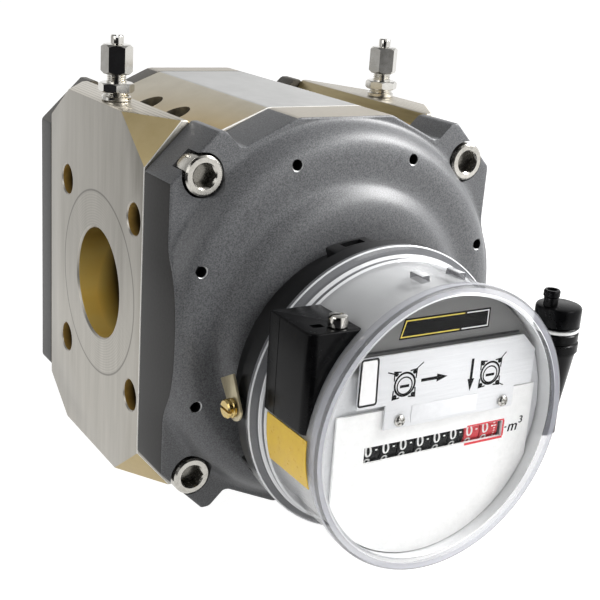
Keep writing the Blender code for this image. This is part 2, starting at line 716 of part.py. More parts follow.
def lobe_outline(first_lobe):
    """A two-lobed rotor of cycloid arcs, drawn in by the running gap."""
    small = PITCH_RADIUS / 4
    steps = 12
    outline = []
    for quarter in range(4):
        outer = quarter % 2 == 0
        for step in range(steps):
            angle = pi / 2 * step / steps
            if outer:
                x = 5 * small * cos(angle) - small * cos(5 * angle)
                z = 5 * small * sin(angle) - small * sin(5 * angle)
            else:
                x = 3 * small * cos(angle) + small * cos(3 * angle)
                z = 3 * small * sin(angle) - small * sin(3 * angle)
            turn = quarter * pi / 2 - pi / 4 + first_lobe
            outline.append(Matrix.Rotation(turn, 2) @ Vector((x, z)))
    drawn_in = []
    for index, point in enumerate(outline):
        along = outline[(index + 1) % len(outline)] - outline[index - 1]
        inward = Vector((-along.y, along.x)).normalized()
        drawn_in.append(tuple(point + inward * ROTOR_GAP))
    return drawn_in


def build_rotors():
    front = -COVER_BACK - ROTOR_GAP
    back = -REAR_COVER_FRONT + ROTOR_GAP
    shaft_front = -COVER_BACK + PLATE_THICKNESS
    shaft_back = -REAR_COVER_FRONT - PLATE_THICKNESS - SEAT - TIMING_WIDTH - 0.001
    stub_end = shaft_front + 0.003 + TRAIN_WIDTH + 0.001
    for name, up, lobe in (("rotor_upper", 1, pi / 2), ("rotor_lower", -1, 0)):
        body = prism(lobe_outline(lobe), back, front)
        end = shaft_front if up > 0 else stub_end
        radius = SHAFT_RADIUS if up > 0 else STUB_RADIUS
        shaft = turned([
            (0, end),
            (radius, end),
            (radius, shaft_front),
            (SHAFT_RADIUS, shaft_front - SEAT),
            (SHAFT_RADIUS, shaft_back),
            (0, shaft_back),
        ], 16)
        rotor = join(body, shaft)
        rotor.transform(Matrix.Translation((0, 0, up * PITCH_RADIUS)))
        finish(name, rotor, "rotor_aluminium", (0, 0, up * PITCH_RADIUS))


def gear(pitch_radius, teeth, first_tooth, start, end, bore):
    """A spur gear with straight-flanked teeth and backlash."""
    module = 2 * pitch_radius / teeth
    pitch = 2 * pi / teeth
    outline = []
    for tooth in range(teeth):
        middle = first_tooth + tooth * pitch
        for radius, share in ((-1.15, -0.33), (0.75, -0.09), (0.75, 0.09), (-1.15, 0.33)):
            reach = pitch_radius + radius * module
            angle = middle + share * pitch
            outline.append((reach * cos(angle), reach * sin(angle)))
    return cut(prism(outline, start, end), rod(bore, start - SEAT, end + SEAT, 14))


def build_gears():
    rear = -REAR_COVER_FRONT - PLATE_THICKNESS - SEAT
    half = pi / TIMING_TEETH
    for name, up, tooth in (("upper", 1, -pi / 2), ("lower", -1, pi / 2 + half)):
        wheel = gear(PITCH_RADIUS, TIMING_TEETH, tooth, rear - TIMING_WIDTH, rear, SHAFT_RADIUS + SEAT)
        wheel.transform(Matrix.Translation((0, 0, up * PITCH_RADIUS)))
        finish(f"timing_gear_{name}", wheel, "bright_steel", (0, 0, up * PITCH_RADIUS))
    start = -COVER_BACK + PLATE_THICKNESS + 0.003
    spread = INDEX_Z + PITCH_RADIUS
    share = spread / (PINION_TEETH + WHEEL_TEETH)
    pinion = gear(share * PINION_TEETH, PINION_TEETH, pi / 2, start, start + TRAIN_WIDTH, STUB_RADIUS + SEAT)
    pinion.transform(Matrix.Translation((0, 0, -PITCH_RADIUS)))
    finish("drive_pinion", pinion, "bright_steel", (0, 0, -PITCH_RADIUS))
    tooth = -pi / 2 + pi / WHEEL_TEETH
    wheel = gear(share * WHEEL_TEETH, WHEEL_TEETH, tooth, start, start + TRAIN_WIDTH, STUB_RADIUS)
    pin_end = DOME_FACE - DOME_WALL / 2 - SEAT
    carrier = turned([
        (0, pin_end),
        (PIN_RADIUS, pin_end),
        (PIN_RADIUS, DOME_FACE - DOME_WALL - SEAT),
        (MAGNET_RADIUS, DOME_FACE - DOME_WALL - SEAT),
        (MAGNET_RADIUS, DOME_FACE - DOME_WALL - 0.010),
        (STUB_RADIUS + 0.002, DOME_FACE - DOME_WALL - 0.010),
        (STUB_RADIUS + 0.002, start),
        (0, start),
    ], 16)
    magnet = join(wheel, carrier)
    magnet.transform(Matrix.Translation((0, 0, INDEX_Z)))
    finish("drive_magnet", magnet, "magnet", (0, 0, INDEX_Z))


def bar(sides, flats, start, end, at, chamfer, turn):
    """An upright bar of equal flats with the corners of its top turned off."""
    corner = flats / 2 / cos(pi / sides)
    outline = arc(at, corner, turn, turn + 2 * pi, sides)[:-1]
    turned_bar = turned([
        (0, end),
        (flats / 2, end),
        (corner + chamfer, end - chamfer),
        (corner + chamfer, start - SEAT),
        (0, start - SEAT),
    ], 12, Matrix(), at)
    return boolean(prism(outline, start, end, Matrix()), "INTERSECT", [turned_bar])


def build_test_points():
    thread = TEST_PLUG_RADIUS * TEST_THREAD_SHARE
    for name, side in (("left", -1), ("right", 1)):
        at = (side * TEST_X, TEST_Y)
        body_turn, cap_turn = TEST_TURNS[name]
        level = FLANGE_TOP + SEAT
        washer = ring(WASHER_RADIUS, TEST_SHANK_RADIUS + SEAT, level, level + WASHER_HEIGHT, 14,
                      Matrix(), at)
        finish(f"test_point_washer_{name}", washer, "nickel")
        level += WASHER_HEIGHT + SEAT
        start = level + COLLAR_HEIGHT
        top = start + BODY_HEIGHT + NECK_HEIGHT
        stem = turned([
            (0, top + TEST_STEM_HEIGHT),
            (TEST_PLUG_RADIUS, top + TEST_STEM_HEIGHT),
            (TEST_PLUG_RADIUS, top),
            (NECK_RADIUS, top),
            (NECK_RADIUS, start + BODY_HEIGHT / 2),
            (COLLAR_RADIUS, start + BODY_HEIGHT / 2),
            (COLLAR_RADIUS, level),
            (TEST_SHANK_RADIUS, level),
            (TEST_SHANK_RADIUS, FLANGE_TOP - TEST_SHANK_LENGTH),
            (0, FLANGE_TOP - TEST_SHANK_LENGTH),
        ], 16, Matrix(), at)
        body = bar(BODY_SIDES, BODY_FLATS, start, start + BODY_HEIGHT, at, BODY_CHAMFER, body_turn)
        finish(f"test_point_body_{name}", join(stem, body), "nickel")
        level = top + SEAT
        cap = bar(CAP_SIDES, CAP_FLATS, level, level + CAP_HEIGHT, at, CAP_CHAMFER, cap_turn)
        bore_end = level + TEST_STEM_HEIGHT + TEST_STEM_RELIEF
        bore = rod(TEST_PLUG_RADIUS + SEAT, level - SEAT, bore_end, 10, Matrix(), at)
        level += CAP_HEIGHT
        hole = rod(thread + SEAT, level - TEST_THREAD_DEPTH, level + SEAT, 10, Matrix(), at)
        finish(f"test_point_cap_{name}", cut(cap, bore, hole), "nickel")
        level += SEAT
        crest = level + TEST_PLUG_HEIGHT
        foot = level - TEST_THREAD_DEPTH + SEAT
        plug = turned([
            (0, crest),
            (TEST_PLUG_RADIUS - TEST_PLUG_CHAMFER, crest),
            (TEST_PLUG_RADIUS, crest - TEST_PLUG_CHAMFER),
            (TEST_PLUG_RADIUS, level),
            (thread, level),
            (thread, foot),
            (0, foot),
        ], 12, Matrix(), at)
        reach = 2 * TEST_PLUG_RADIUS
        slot = box((at[0] - TEST_SLOT_HALF, at[1] - reach, crest - TEST_SLOT_DEPTH),
                   (at[0] + TEST_SLOT_HALF, at[1] + reach, crest + SEAT))
        finish(f"test_point_plug_{name}", cut(plug, slot), "nickel")


def head_placed(mesh):
    """Move a shape drawn about its own axis onto the index head's axis."""
    mesh.transform(Matrix.Translation((0, 0, INDEX_Z)))
    return mesh


def build_index_base():
    back, front = BASE_BACK, BASE_FRONT
    flare = front - BASE_RIM_HEIGHT
    shell = turned([
        (BASE_RADIUS - BASE_CHAMFER, back),
        (BASE_RADIUS, back + BASE_CHAMFER),
        (BASE_RADIUS, flare - BASE_RIM_FLARE),
        (BASE_RIM_RADIUS, flare),
        (BASE_RIM_RADIUS, front),
        (BASE_RIM_RADIUS - BASE_WALL, front),
        (BASE_RADIUS - BASE_WALL, flare),
        (BASE_RADIUS - BASE_WALL, back + BASE_FLOOR),
        (SPINDLE_BOSS, back + BASE_FLOOR),
        (SPINDLE_BOSS, back + 2 * BASE_FLOOR),
        (SPINDLE_RADIUS + RUNNING, back + 2 * BASE_FLOOR),
        (SPINDLE_RADIUS + RUNNING, back + BASE_FLOOR / 2),
        (0, back + BASE_FLOOR / 2),
    ][::-1] + [(0, back)], 32)
    sunk = BASE_WALL / 4
    for middle in CLIP_ANGLES:
        start, end = middle - CLIP_HALF_ANGLE, middle + CLIP_HALF_ANGLE
        inner = arc((0, 0), BASE_RADIUS - sunk, end, start, 4)
        outer = arc((0, 0), CLIP_RADIUS, start, end, 6)
        shell = join(shell, prism(outer + inner, back + CLIP_FROM, front - CLIP_TO))
        start, end = [middle + angle for angle in CLIP_OPENING_ANGLES]
        inner = arc((0, 0), BASE_RADIUS + sunk, end, start, 2)
        outer = arc((0, 0), CLIP_RADIUS + sunk, start, end, 3)
        opening = prism(outer + inner, back + CLIP_OPENING_FROM, front - CLIP_OPENING_TO)
        shell = cut(shell, opening)
    reach = -BASE_RIM_RADIUS - TAB_BOSS_HEIGHT
    place = (INDEX_Z - TAB_Z, -TAB_DEPTH)
    boss = rod(TAB_BOSS_RADIUS, reach, -BASE_RIM_RADIUS + BASE_WALL * 3 / 4, 20, FACING_RIGHT, place)
    hole = rod(TAB_SHANK_RADIUS + SEAT, reach - SEAT, reach + TAB_HOLE_DEPTH, 14, FACING_RIGHT, place)
    finish("index_base", head_placed(cut(join(shell, boss), hole)), "black_plastic", (0, 0, INDEX_Z))


def build_index_cap():
    back, front = CAP_BACK, CAP_FRONT
    inner = CAP_RADIUS - CAP_WALL
    profile = [
        (0, front),
        (CAP_RING_RADIUS - CAP_RING_CHAMFER, front),
        (CAP_RING_RADIUS, front - CAP_RING_CHAMFER),
        (CAP_RING_RADIUS, front - CAP_RING_HEIGHT),
        (CAP_RADIUS, front - CAP_RING_FOOT),
        (CAP_RADIUS, back + CAP_SHOULDER),
    ]
    for outward, high, low in CAP_RIM_STEPS:
        profile += [(CAP_RADIUS + outward, back + high), (CAP_RADIUS + outward, back + low)]
    profile += [
        (CAP_RIM_RADIUS, back + CAP_RIM_HEIGHT),
        (CAP_RIM_RADIUS, back),
        (inner, back),
        (inner, front - CAP_WALL),
        (0, front - CAP_WALL),
    ]
    cap = turned(profile, 40)
    for degrees in LUG_ANGLES:
        turn = Matrix.Rotation(radians(90 - degrees), 4, "Y")
        lug = box((-LUG_HALF_WIDTH, LUG_FROM - front, CAP_RADIUS - CAP_WALL / 2),
                  (LUG_HALF_WIDTH, LUG_TO - front, CAP_RADIUS + LUG_HEIGHT))
        lug.transform(turn)
        cap = join(cap, lug)
    finish("index_cap", head_placed(cap), "clear_plastic", (0, 0, INDEX_Z))


def wheel_window(grow=0):
    low = -NUMBER_DROP - WINDOW_HALF_HEIGHT - grow
    high = -NUMBER_DROP + WINDOW_HALF_HEIGHT + grow
    left = NUMBER_LEFT - 0.0005 - grow
    right = NUMBER_RIGHT + 0.0005 + grow
    return box((left, -1, low), (right, 1, high))


def panel_screw_holes():
    return [rod(PANEL_SHANK_RADIUS + SEAT, DIAL_BACK - SEAT, PANEL_BACK + 0.01, 8, at=(x, PANEL_SCREW_Z))
            for x in PANEL_SCREW_X]


def build_index_frame():
    back = BASE_BACK + FRAME_BACK
    frame = rod(FRAME_RADIUS - 0.002, back, back + FRAME_THICKNESS, 20)
    dial = rod(FRAME_RADIUS, DIAL_BACK, DIAL_BACK + DIAL_THICKNESS, 32)
    opening = NUMBER_RADIUS - WINDOW_HALF_HEIGHT
    dial = cut(dial, wheel_window(opening / 3), *panel_screw_holes())
    legs = [rod(LEG_RADIUS, BASE_BACK + BASE_FLOOR + SEAT, back + FRAME_THICKNESS / 2, 8,
                at=(LEG_CIRCLE * cos(a), LEG_CIRCLE * sin(a)))
            for a in (radians(90), radians(210), radians(330))]
    cheeks = []
    for start, side in ((NUMBER_LEFT - 0.0035, -1), (NUMBER_RIGHT + 0.0018, 1)):
        ends = sorted((start, start + side * CHEEK_THICKNESS))
        cheeks.append(box((ends[0], -DIAL_BACK - DIAL_THICKNESS / 2, -NUMBER_DROP - CHEEK_HEIGHT / 2),
                          (ends[1], -back - FRAME_THICKNESS / 2, -NUMBER_DROP + CHEEK_HEIGHT / 2)))
    frame = join(frame, *legs, *cheeks, dial)
    tools = [rod(SPINDLE_RADIUS + RUNNING, back - 0.01, back + 0.01, 16)]
    tools.append(rod(AXLE_RADIUS + SEAT, -0.06, 0.06, 14, FACING_RIGHT, (NUMBER_DROP, -NUMBER_AXIS)))
    tools.append(rod(TRANSFER_SHAFT + SEAT, -0.06, 0.06, 12, FACING_RIGHT, (NUMBER_DROP, -TRANSFER_AXIS)))
    finish("index_frame", head_placed(cut(frame, *tools)), "grey_plastic", (0, 0, INDEX_Z))


def build_dial():
    top = PANEL_RIGHT_STEP - PLATE_GAUGE
    start = pi + acos(-SCALE_LEFT / SCALE_RADIUS)
    end = 2 * pi - acos(SCALE_RIGHT / SCALE_RADIUS)
    lower = arc((0, 0), SCALE_RADIUS, start, end, 14)
    outline = [(SCALE_RIGHT, top), (SCALE_LEFT, top), *lower]
    plate = prism(outline, SCALE_BACK, SCALE_BACK + PLATE_GAUGE)
    finish("scale_plate", head_placed(cut(plate, wheel_window(), *panel_screw_holes())), "white_plastic",
           (0, 0, INDEX_Z))
    outline = [
        (PANEL_LEFT, PANEL_TOP),
        (PANEL_LEFT, PANEL_LEFT_STEP),
        (PANEL_TAB_LEFT, PANEL_LEFT_STEP),
        (PANEL_TAB_LEFT, PANEL_BOTTOM),
        (PANEL_TAB_RIGHT, PANEL_BOTTOM),
        (PANEL_TAB_RIGHT, PANEL_RIGHT_STEP),
        (PANEL_RIGHT, PANEL_RIGHT_STEP),
        (PANEL_RIGHT, PANEL_TOP - PANEL_CORNER),
        (PANEL_RIGHT - PANEL_CORNER, PANEL_TOP),
    ]
    panel = prism(outline, PANEL_BACK, PANEL_BACK + PLATE_GAUGE)
    finish("info_panel", head_placed(cut(panel, *panel_screw_holes())), "bright_steel", (0, 0, INDEX_Z))
    seat = PANEL_BACK + PLATE_GAUGE + SEAT
    for name, x in zip(("left", "right"), PANEL_SCREW_X):
        screw = turned([
            (0, seat + 0.0014),
            (PANEL_SCREW_RADIUS - 0.0006, seat + 0.0014),
            (PANEL_SCREW_RADIUS, seat + 0.0008),
            (PANEL_SCREW_RADIUS, seat),
            (PANEL_SHANK_RADIUS, seat),
            (PANEL_SHANK_RADIUS, DIAL_BACK + 0.0002),
            (0, DIAL_BACK + 0.0002),
        ], 10, at=(x, PANEL_SCREW_Z))
        finish(f"panel_screw_{name}", head_placed(screw), "bright_steel", (0, 0, INDEX_Z))


def build_counter():
    pivot = Vector((0, -NUMBER_AXIS, INDEX_Z - NUMBER_DROP))
    for index in range(NUMBER_WHEELS):
        start = NUMBER_LEFT + index * NUMBER_PITCH
        end = start + NUMBER_PITCH - NUMBER_GAP
        if index == NUMBER_WHEELS - 1:
            end += LAST_WHEEL_EXTRA
        wheel = ring(NUMBER_RADIUS, AXLE_RADIUS + RUNNING, start, end, 14, FACING_RIGHT)
        wheel.transform(Matrix.Translation(pivot))
        colour = "black_plastic" if index < NUMBER_WHEELS - 2 else "red_plastic"
        middle = pivot + Vector(((start + end) / 2, 0, 0))
        finish(f"number_wheel_{index + 1}", wheel, colour, middle)
    left = NUMBER_LEFT - 0.0035 - CHEEK_THICKNESS
    right = NUMBER_RIGHT + 0.0018 + CHEEK_THICKNESS
    axle = rod(AXLE_RADIUS, left, right, 14, FACING_RIGHT)
    axle.transform(Matrix.Translation(pivot))
    finish("wheel_axle", axle, "bright_steel", pivot)
    profile = [(0, right), (TRANSFER_SHAFT, right)]
    for index in reversed(range(1, NUMBER_WHEELS)):
        high = NUMBER_LEFT + index * NUMBER_PITCH + 0.0016
        low = high - 0.0032
        profile += [(TRANSFER_SHAFT, high), (TRANSFER_RADIUS, high)]
        profile += [(TRANSFER_RADIUS, low), (TRANSFER_SHAFT, low)]
    profile += [(TRANSFER_SHAFT, left), (0, left)]
    pinions = turned(profile, 6, FACING_RIGHT)
    place = Vector((0, -TRANSFER_AXIS, INDEX_Z - NUMBER_DROP))
    pinions.transform(Matrix.Translation(place))
    finish("transfer_pinions", pinions, "white_plastic", place)
    foot = BASE_BACK + BASE_FLOOR / 2 + SEAT
    middle = BASE_BACK + 2 * BASE_FLOOR + SEAT
    top = BASE_BACK + FRAME_BACK + FRAME_THICKNESS + 0.001
    drive = turned([
        (0, top),
        (SPINDLE_RADIUS, top),
        (SPINDLE_RADIUS, middle + 0.009),
        (MAGNET_RADIUS, middle + 0.009),
        (MAGNET_RADIUS, middle),
        (SPINDLE_RADIUS, middle),
        (SPINDLE_RADIUS, foot),
        (0, foot),
    ], 14)
    finish("index_magnet", head_placed(drive), "magnet", (0, 0, INDEX_Z))


def build_plug_box():
    block = box((PLUG_LEFT, -PLUG_FRONT, PLUG_BOTTOM), (PLUG_RIGHT, -PLUG_BACK, PLUG_TOP))
    block = bevelled(block, 0.0015)
    around_cap = rod(CAP_RADIUS + SEAT, PLUG_BACK - 0.01, PLUG_FRONT + 0.01, 64, at=(0, INDEX_Z))
    place = (SEAL_SCREW_X, -SEAL_SCREW_DEPTH)
    hole = rod(TAB_SHANK_RADIUS + SEAT, PLUG_TOP - SEAL_SHANK_LENGTH, PLUG_TOP + SEAT, 12, Matrix(), place)
    finish("plug_box", cut(block, around_cap, hole), "black_plastic", (0, 0, INDEX_Z))
    seat = PLUG_TOP + SEAT
    screw = turned([
        (0, seat + SEAL_SCREW_HEIGHT),
        (SEAL_SCREW_RADIUS - 0.0006, seat + SEAL_SCREW_HEIGHT),
        (SEAL_SCREW_RADIUS, seat + SEAL_SCREW_HEIGHT - 0.0006),
        (SEAL_SCREW_RADIUS, seat),
        (TAB_SHANK_RADIUS, seat),
        (TAB_SHANK_RADIUS, seat - SEAL_SHANK_LENGTH),
        (0, seat - SEAL_SHANK_LENGTH),
    ], 16, Matrix(), place)
    slot = box((place[0] - 0.005, place[1] - 0.0006, seat + SEAL_SCREW_HEIGHT - 0.0016),
               (place[0] + 0.005, place[1] + 0.0006, seat + SEAL_SCREW_HEIGHT + 0.001))
    finish("seal_screw", cut(screw, slot), "nickel", (0, 0, INDEX_Z))


def build_side_label():
    inner = CAP_RADIUS + SEAT
    outline = arc((0, 0), inner + LABEL_GAUGE, LABEL_FROM, LABEL_TO, 8)
    outline += arc((0, 0), inner, LABEL_TO, LABEL_FROM, 8)
    label = prism(outline, CAP_BACK + LABEL_BACK_GAP, CAP_FRONT - LABEL_FRONT_GAP)
    finish("side_label", head_placed(label), "yellow_film", (0, 0, INDEX_Z))


def build_seal_tab():
    inner = -BASE_RIM_RADIUS - TAB_BOSS_HEIGHT - SEAT
    outline = arc((-TAB_DEPTH, TAB_Z), TAB_HUB_RADIUS, pi, 2 * pi, 10)
    outline += TAB_TIP
    upright = Matrix(((0, 0, 1, 0), (1, 0, 0, 0), (0, 1, 0, 0), (0, 0, 0, 1)))
    tab = prism(outline, inner - TAB_GAUGE, inner, upright)
    hole = rod(TAB_SHANK_RADIUS + SEAT, inner - 0.005, inner + 0.005, 14, FACING_RIGHT, (-TAB_Z, -TAB_DEPTH))
    pivot = (inner, -TAB_DEPTH, TAB_Z)
    finish("seal_tab", cut(tab, hole), "brass", pivot)
    seat = inner - TAB_GAUGE - SEAT
    screw = turned([
        (0, inner + 0.0042),
        (TAB_SHANK_RADIUS, inner + 0.0042),
        (TAB_SHANK_RADIUS, seat),
        (TAB_SCREW_RADIUS, seat),
        (TAB_SCREW_RADIUS, seat - TAB_SCREW_HEIGHT + 0.0006),
        (TAB_SCREW_RADIUS - 0.0006, seat - TAB_SCREW_HEIGHT),
        (0, seat - TAB_SCREW_HEIGHT),
    ], 16, FACING_RIGHT, (-TAB_Z, -TAB_DEPTH))
    end = seat - TAB_SCREW_HEIGHT
    slot = box((end - 0.001, -TAB_DEPTH - 0.006, TAB_Z - 0.0006),
               (end + 0.0014, -TAB_DEPTH + 0.006, TAB_Z + 0.0006))
    finish("seal_tab_screw", cut(screw, slot), "brass", pivot)


def build_cartridge():
    at = (CARTRIDGE_X, -CARTRIDGE_DEPTH)
    cap_bottom = CARTRIDGE_TOP - CARTRIDGE_CAP_HEIGHT
    collar = cap_bottom - 0.0022
    radius = CARTRIDGE_RADIUS
    body = turned([
        (0, cap_bottom - SEAT),
        (radius - 0.0025, cap_bottom - SEAT),
        (radius - 0.0025, collar),
        (radius, collar),
        (radius, collar - 0.004),
        (radius + 0.0004, collar - 0.005),
        (radius + 0.0004, collar - 0.0095),
        (radius - 0.0006, collar - 0.0105),
        (0.0064, -0.030),
        (0.0064, CARTRIDGE_BOTTOM + 0.001),
        (0.0054, CARTRIDGE_BOTTOM),
        (0, CARTRIDGE_BOTTOM),
    ], 20, Matrix(), at)
    arm = box((CAP_RADIUS - 0.004, -CARTRIDGE_DEPTH - 0.006, -0.014),
              (CARTRIDGE_X - 0.006, -CARTRIDGE_DEPTH + 0.006, 0.001))
    around_cap = rod(CAP_RADIUS + SEAT, CARTRIDGE_DEPTH - 0.02, CARTRIDGE_DEPTH + 0.02, 64, at=(0, INDEX_Z))
    finish("cartridge_body", join(body, cut(arm, around_cap)), "black_plastic", (0, 0, INDEX_Z))
    band = ring(radius - 0.0003, radius - 0.0025 + SEAT, collar + SEAT, cap_bottom - SEAT, 20, Matrix(), at)
    finish("cartridge_seal", band, "white_plastic", (0, 0, INDEX_Z))
    cap = turned([
        (0, CARTRIDGE_TOP),
        (radius - 0.0012, CARTRIDGE_TOP),
        (radius, CARTRIDGE_TOP - 0.0012),
        (radius, cap_bottom),
        (0, cap_bottom),
    ], 20, Matrix(), at)
    spout = rod(SPOUT_RADIUS, CARTRIDGE_TOP - 0.001, CARTRIDGE_TOP + SPOUT_HEIGHT, 14, Matrix(),
                (at[0] - SPOUT_OFFSET, at[1]))
    finish("cartridge_cap", join(cap, spout), "black_plastic", (0, 0, INDEX_Z))


clear_scene()
build_housing()
build_front_cover()
build_rear_cover()
build_bearing_plates()
build_cover_screws()
build_rotors()
build_gears()
build_test_points()
build_index_base()
build_index_cap()
build_index_frame()
build_dial()
build_counter()
build_plug_box()
build_side_label()
build_seal_tab()
build_cartridge()
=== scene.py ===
from math import atan2, ceil, cos, degrees, hypot, pi, radians, sin, sqrt

import bmesh
import bpy
from mathutils import Matrix, Vector


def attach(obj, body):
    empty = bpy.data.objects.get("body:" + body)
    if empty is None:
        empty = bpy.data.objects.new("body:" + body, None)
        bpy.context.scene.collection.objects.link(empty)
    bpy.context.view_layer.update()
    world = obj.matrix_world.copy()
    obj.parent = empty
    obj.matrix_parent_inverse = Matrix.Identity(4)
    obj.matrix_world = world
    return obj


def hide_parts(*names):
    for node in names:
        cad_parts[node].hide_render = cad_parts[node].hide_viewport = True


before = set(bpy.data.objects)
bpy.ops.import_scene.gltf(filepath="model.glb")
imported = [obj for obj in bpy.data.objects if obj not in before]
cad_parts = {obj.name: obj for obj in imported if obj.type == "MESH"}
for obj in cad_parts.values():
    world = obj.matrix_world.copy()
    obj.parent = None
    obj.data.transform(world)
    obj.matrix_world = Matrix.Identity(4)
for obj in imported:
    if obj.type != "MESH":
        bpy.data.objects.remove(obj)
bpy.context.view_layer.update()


# Housing: one aluminium block between the two pipe flanges. Its faces are milled bare, while the
# slanted corners, the bores and the flanks behind the flanges keep a thin yellow chromate film.
# It is drawn as an outline, extruded along the meter, and then milled and drilled.

half_length = 0.0855
housing_front, housing_back = 0.053, -0.067
pipe_height = 0.0935
flange_top, flange_inner = 0.0885, 0.065
crown = (0.025, 0.0935, 0.008)
trough_height = 0.0825
trough = (0.0515, 0.0615)
port_radius, port_flare = 0.0273, 0.0009
bolt_offset = 0.12065 / 2 * sqrt(0.5)
bolt_radius, bolt_depth, bolt_flare = 0.0075, 0.024, 0.0006
edge_break = 0.0005
facet_run = 0.017
facets = {(1, -1): (0.027, 0.020), (1, 1): (0.029, 0.021), (-1, -1): (0.026, 0.017), (-1, 1): (0.043, 0.022)}
rotor_offset = 0.0346
chamber_radius = 0.0522
test_x, test_depth, test_hole = 0.076, -0.003, 0.0049
pocket_x, pocket_places, pocket_radius = -0.050, (0.0255, -0.006), 0.0076
screw_hole = 0.0061
raised_face = 0.0455
turning_pitch = 0.0013
cutter_pitch = 0.0029


def linear(code):
    """An sRGB hex colour as the linear colour that a shader socket takes."""
    shares = [int(code[place:place + 2], 16) / 255 for place in (1, 3, 5)]
    return (*(c / 12.92 if c <= 0.04045 else ((c + 0.055) / 1.055) ** 2.4 for c in shares), 1)


def add(tree, kind, feeds=None, **settings):
    """Add a node with its settings, and feed its inputs with values or with other sockets."""
    made = tree.nodes.new(kind)
    for name, value in settings.items():
        setattr(made, name, value)
    for key, value in (feeds or {}).items():
        if isinstance(value, bpy.types.NodeSocket):
            tree.links.new(value, made.inputs[key])
        else:
            made.inputs[key].default_value = value
    return made


def maths(tree, operation, *values):
    """The output of one Math node."""
    return add(tree, "ShaderNodeMath", dict(enumerate(values)), operation=operation).outputs[0]


def vectors(tree, operation, *values):
    """The output of one Vector Math node."""
    made = add(tree, "ShaderNodeVectorMath", dict(enumerate(values)), operation=operation)
    return made.outputs["Value" if operation in ("LENGTH", "DOT_PRODUCT") else "Vector"]


def ramp(tree, value, start, end, low=0.0, high=1.0):
    """A value's way from start to end as one from low to high, held at both ends."""
    return add(tree, "ShaderNodeMapRange", {"Value": value, "From Min": start, "From Max": end,
                                            "To Min": low, "To Max": high}).outputs[0]


def place_in(tree, axis=None):
    """The place on a piece, or its distance along one axis, in metres."""
    place = add(tree, "ShaderNodeTexCoord").outputs["Object"]
    return add(tree, "ShaderNodeSeparateXYZ", {0: place}).outputs[axis] if axis else place


def start_finish(name, colour, roughness, metallic=0.0):
    """A new material, the tree that its pattern goes in, and its shader with its constants set."""
    material = bpy.data.materials.new(name)
    material.use_nodes = True
    shader = material.node_tree.nodes["Principled BSDF"]
    shader.inputs["Base Color"].default_value = linear(colour)
    shader.inputs["Roughness"].default_value = roughness
    shader.inputs["Metallic"].default_value = metallic
    return material, material.node_tree, shader


def grained(name, low, high, roughness, grain, depth=0.00001, metallic=0.0, spread=0.08, sharp=0.2):
    """A finish whose colour, roughness and relief follow one grain, sized in metres, or per axis."""
    material, tree, shader = start_finish(name, low, roughness, metallic)
    grain = grain if isinstance(grain, tuple) else (grain, grain, grain)
    fine = vectors(tree, "DIVIDE", place_in(tree), grain)
    noise = add(tree, "ShaderNodeTexNoise", {"Vector": fine, "Scale": 1.0, "Detail": 3.0, "Roughness": 0.6}).outputs[0]
    even = ramp(tree, noise, 0.5 - sharp, 0.5 + sharp)
    colour = add(tree, "ShaderNodeMix", {"Factor": even, 6: linear(low), 7: linear(high)}, data_type="RGBA")
    tree.links.new(colour.outputs[2], shader.inputs["Base Color"])
    rough = ramp(tree, even, 0.0, 1.0, roughness - spread, roughness + spread)
    tree.links.new(rough, shader.inputs["Roughness"])
    relief = add(tree, "ShaderNodeBump", {"Height": noise, "Strength": 0.6, "Distance": depth})
    tree.links.new(relief.outputs[0], shader.inputs["Normal"])
    return material


def toned(material, share, code):
    """Lay a second colour over a finish, where share gives its share from the finish's tree."""
    tree = material.node_tree
    colour = tree.nodes["Principled BSDF"].inputs["Base Color"]
    mixed = add(tree, "ShaderNodeMix", {"Factor": share, 6: colour.links[0].from_socket, 7: linear(code)},
                data_type="RGBA")
    tree.links.new(mixed.outputs[2], colour)


def dulled(material, level):
    """A finish with the shine of its surface turned down."""
    material.node_tree.nodes["Principled BSDF"].inputs["Specular IOR Level"].default_value = level
    return material


def rounded(corners, steps=6):
    """A closed outline through corners of x, z and fillet radius."""
    outline = []
    for index, (x, z, radius) in enumerate(corners):
        here = Vector((x, z))
        before = (Vector(corners[index - 1][:2]) - here).normalized()
        after = (Vector(corners[(index + 1) % len(corners)][:2]) - here).normalized()
        half = before.angle(after) / 2
        if radius == 0:
            outline.append((x, z))
            continue
        middle = here + (before + after).normalized() * radius / sin(half)
        first = before * radius / sin(half) * cos(half) + here - middle
        last = after * radius / sin(half) * cos(half) + here - middle
        begin = atan2(first.y, first.x)
        sweep = atan2(last.y, last.x) - begin
        sweep -= 2 * pi * round(sweep / (2 * pi))
        for step in range(steps + 1):
            angle = begin + sweep * step / steps
            outline.append((middle.x + radius * cos(angle), middle.y + radius * sin(angle)))
    return outline


def four_ways(chain):
    """Corners of the upper right quarter, crown first, repeated round the meter's two mid planes."""
    lower_right = [(x, -z, radius) for x, z, radius in reversed(chain)]
    lower_left = [(-x, -z, radius) for x, z, radius in chain]
    upper_left = [(-x, z, radius) for x, z, radius in reversed(chain)]
    return chain + lower_right + lower_left + upper_left


def oblong(left, right, low, high):
    """The corners of a rectangle."""
    return [(left, low), (right, low), (right, high), (left, high)]


def about(radius, height, *steps):
    """Points of a profile, given from one of its corners."""
    return [(radius + across, height + up) for across, up in steps]


# Drawing planes: a shape is drawn flat and raised along its third axis, and these carry that
# axis to the front, to the right or upwards, with the pipe axis as the line that z starts from.
to_front = Matrix.Translation((0, 0, pipe_height)) @ Matrix.Rotation(radians(90), 4, "X")
to_rear = Matrix.Translation((0, 0, pipe_height)) @ Matrix.Rotation(radians(-90), 4, "X")
to_right = Matrix.Translation((0, 0, pipe_height)) @ Matrix.Rotation(radians(90), 4, "Y")
upright = Matrix.Translation((0, 0, pipe_height))


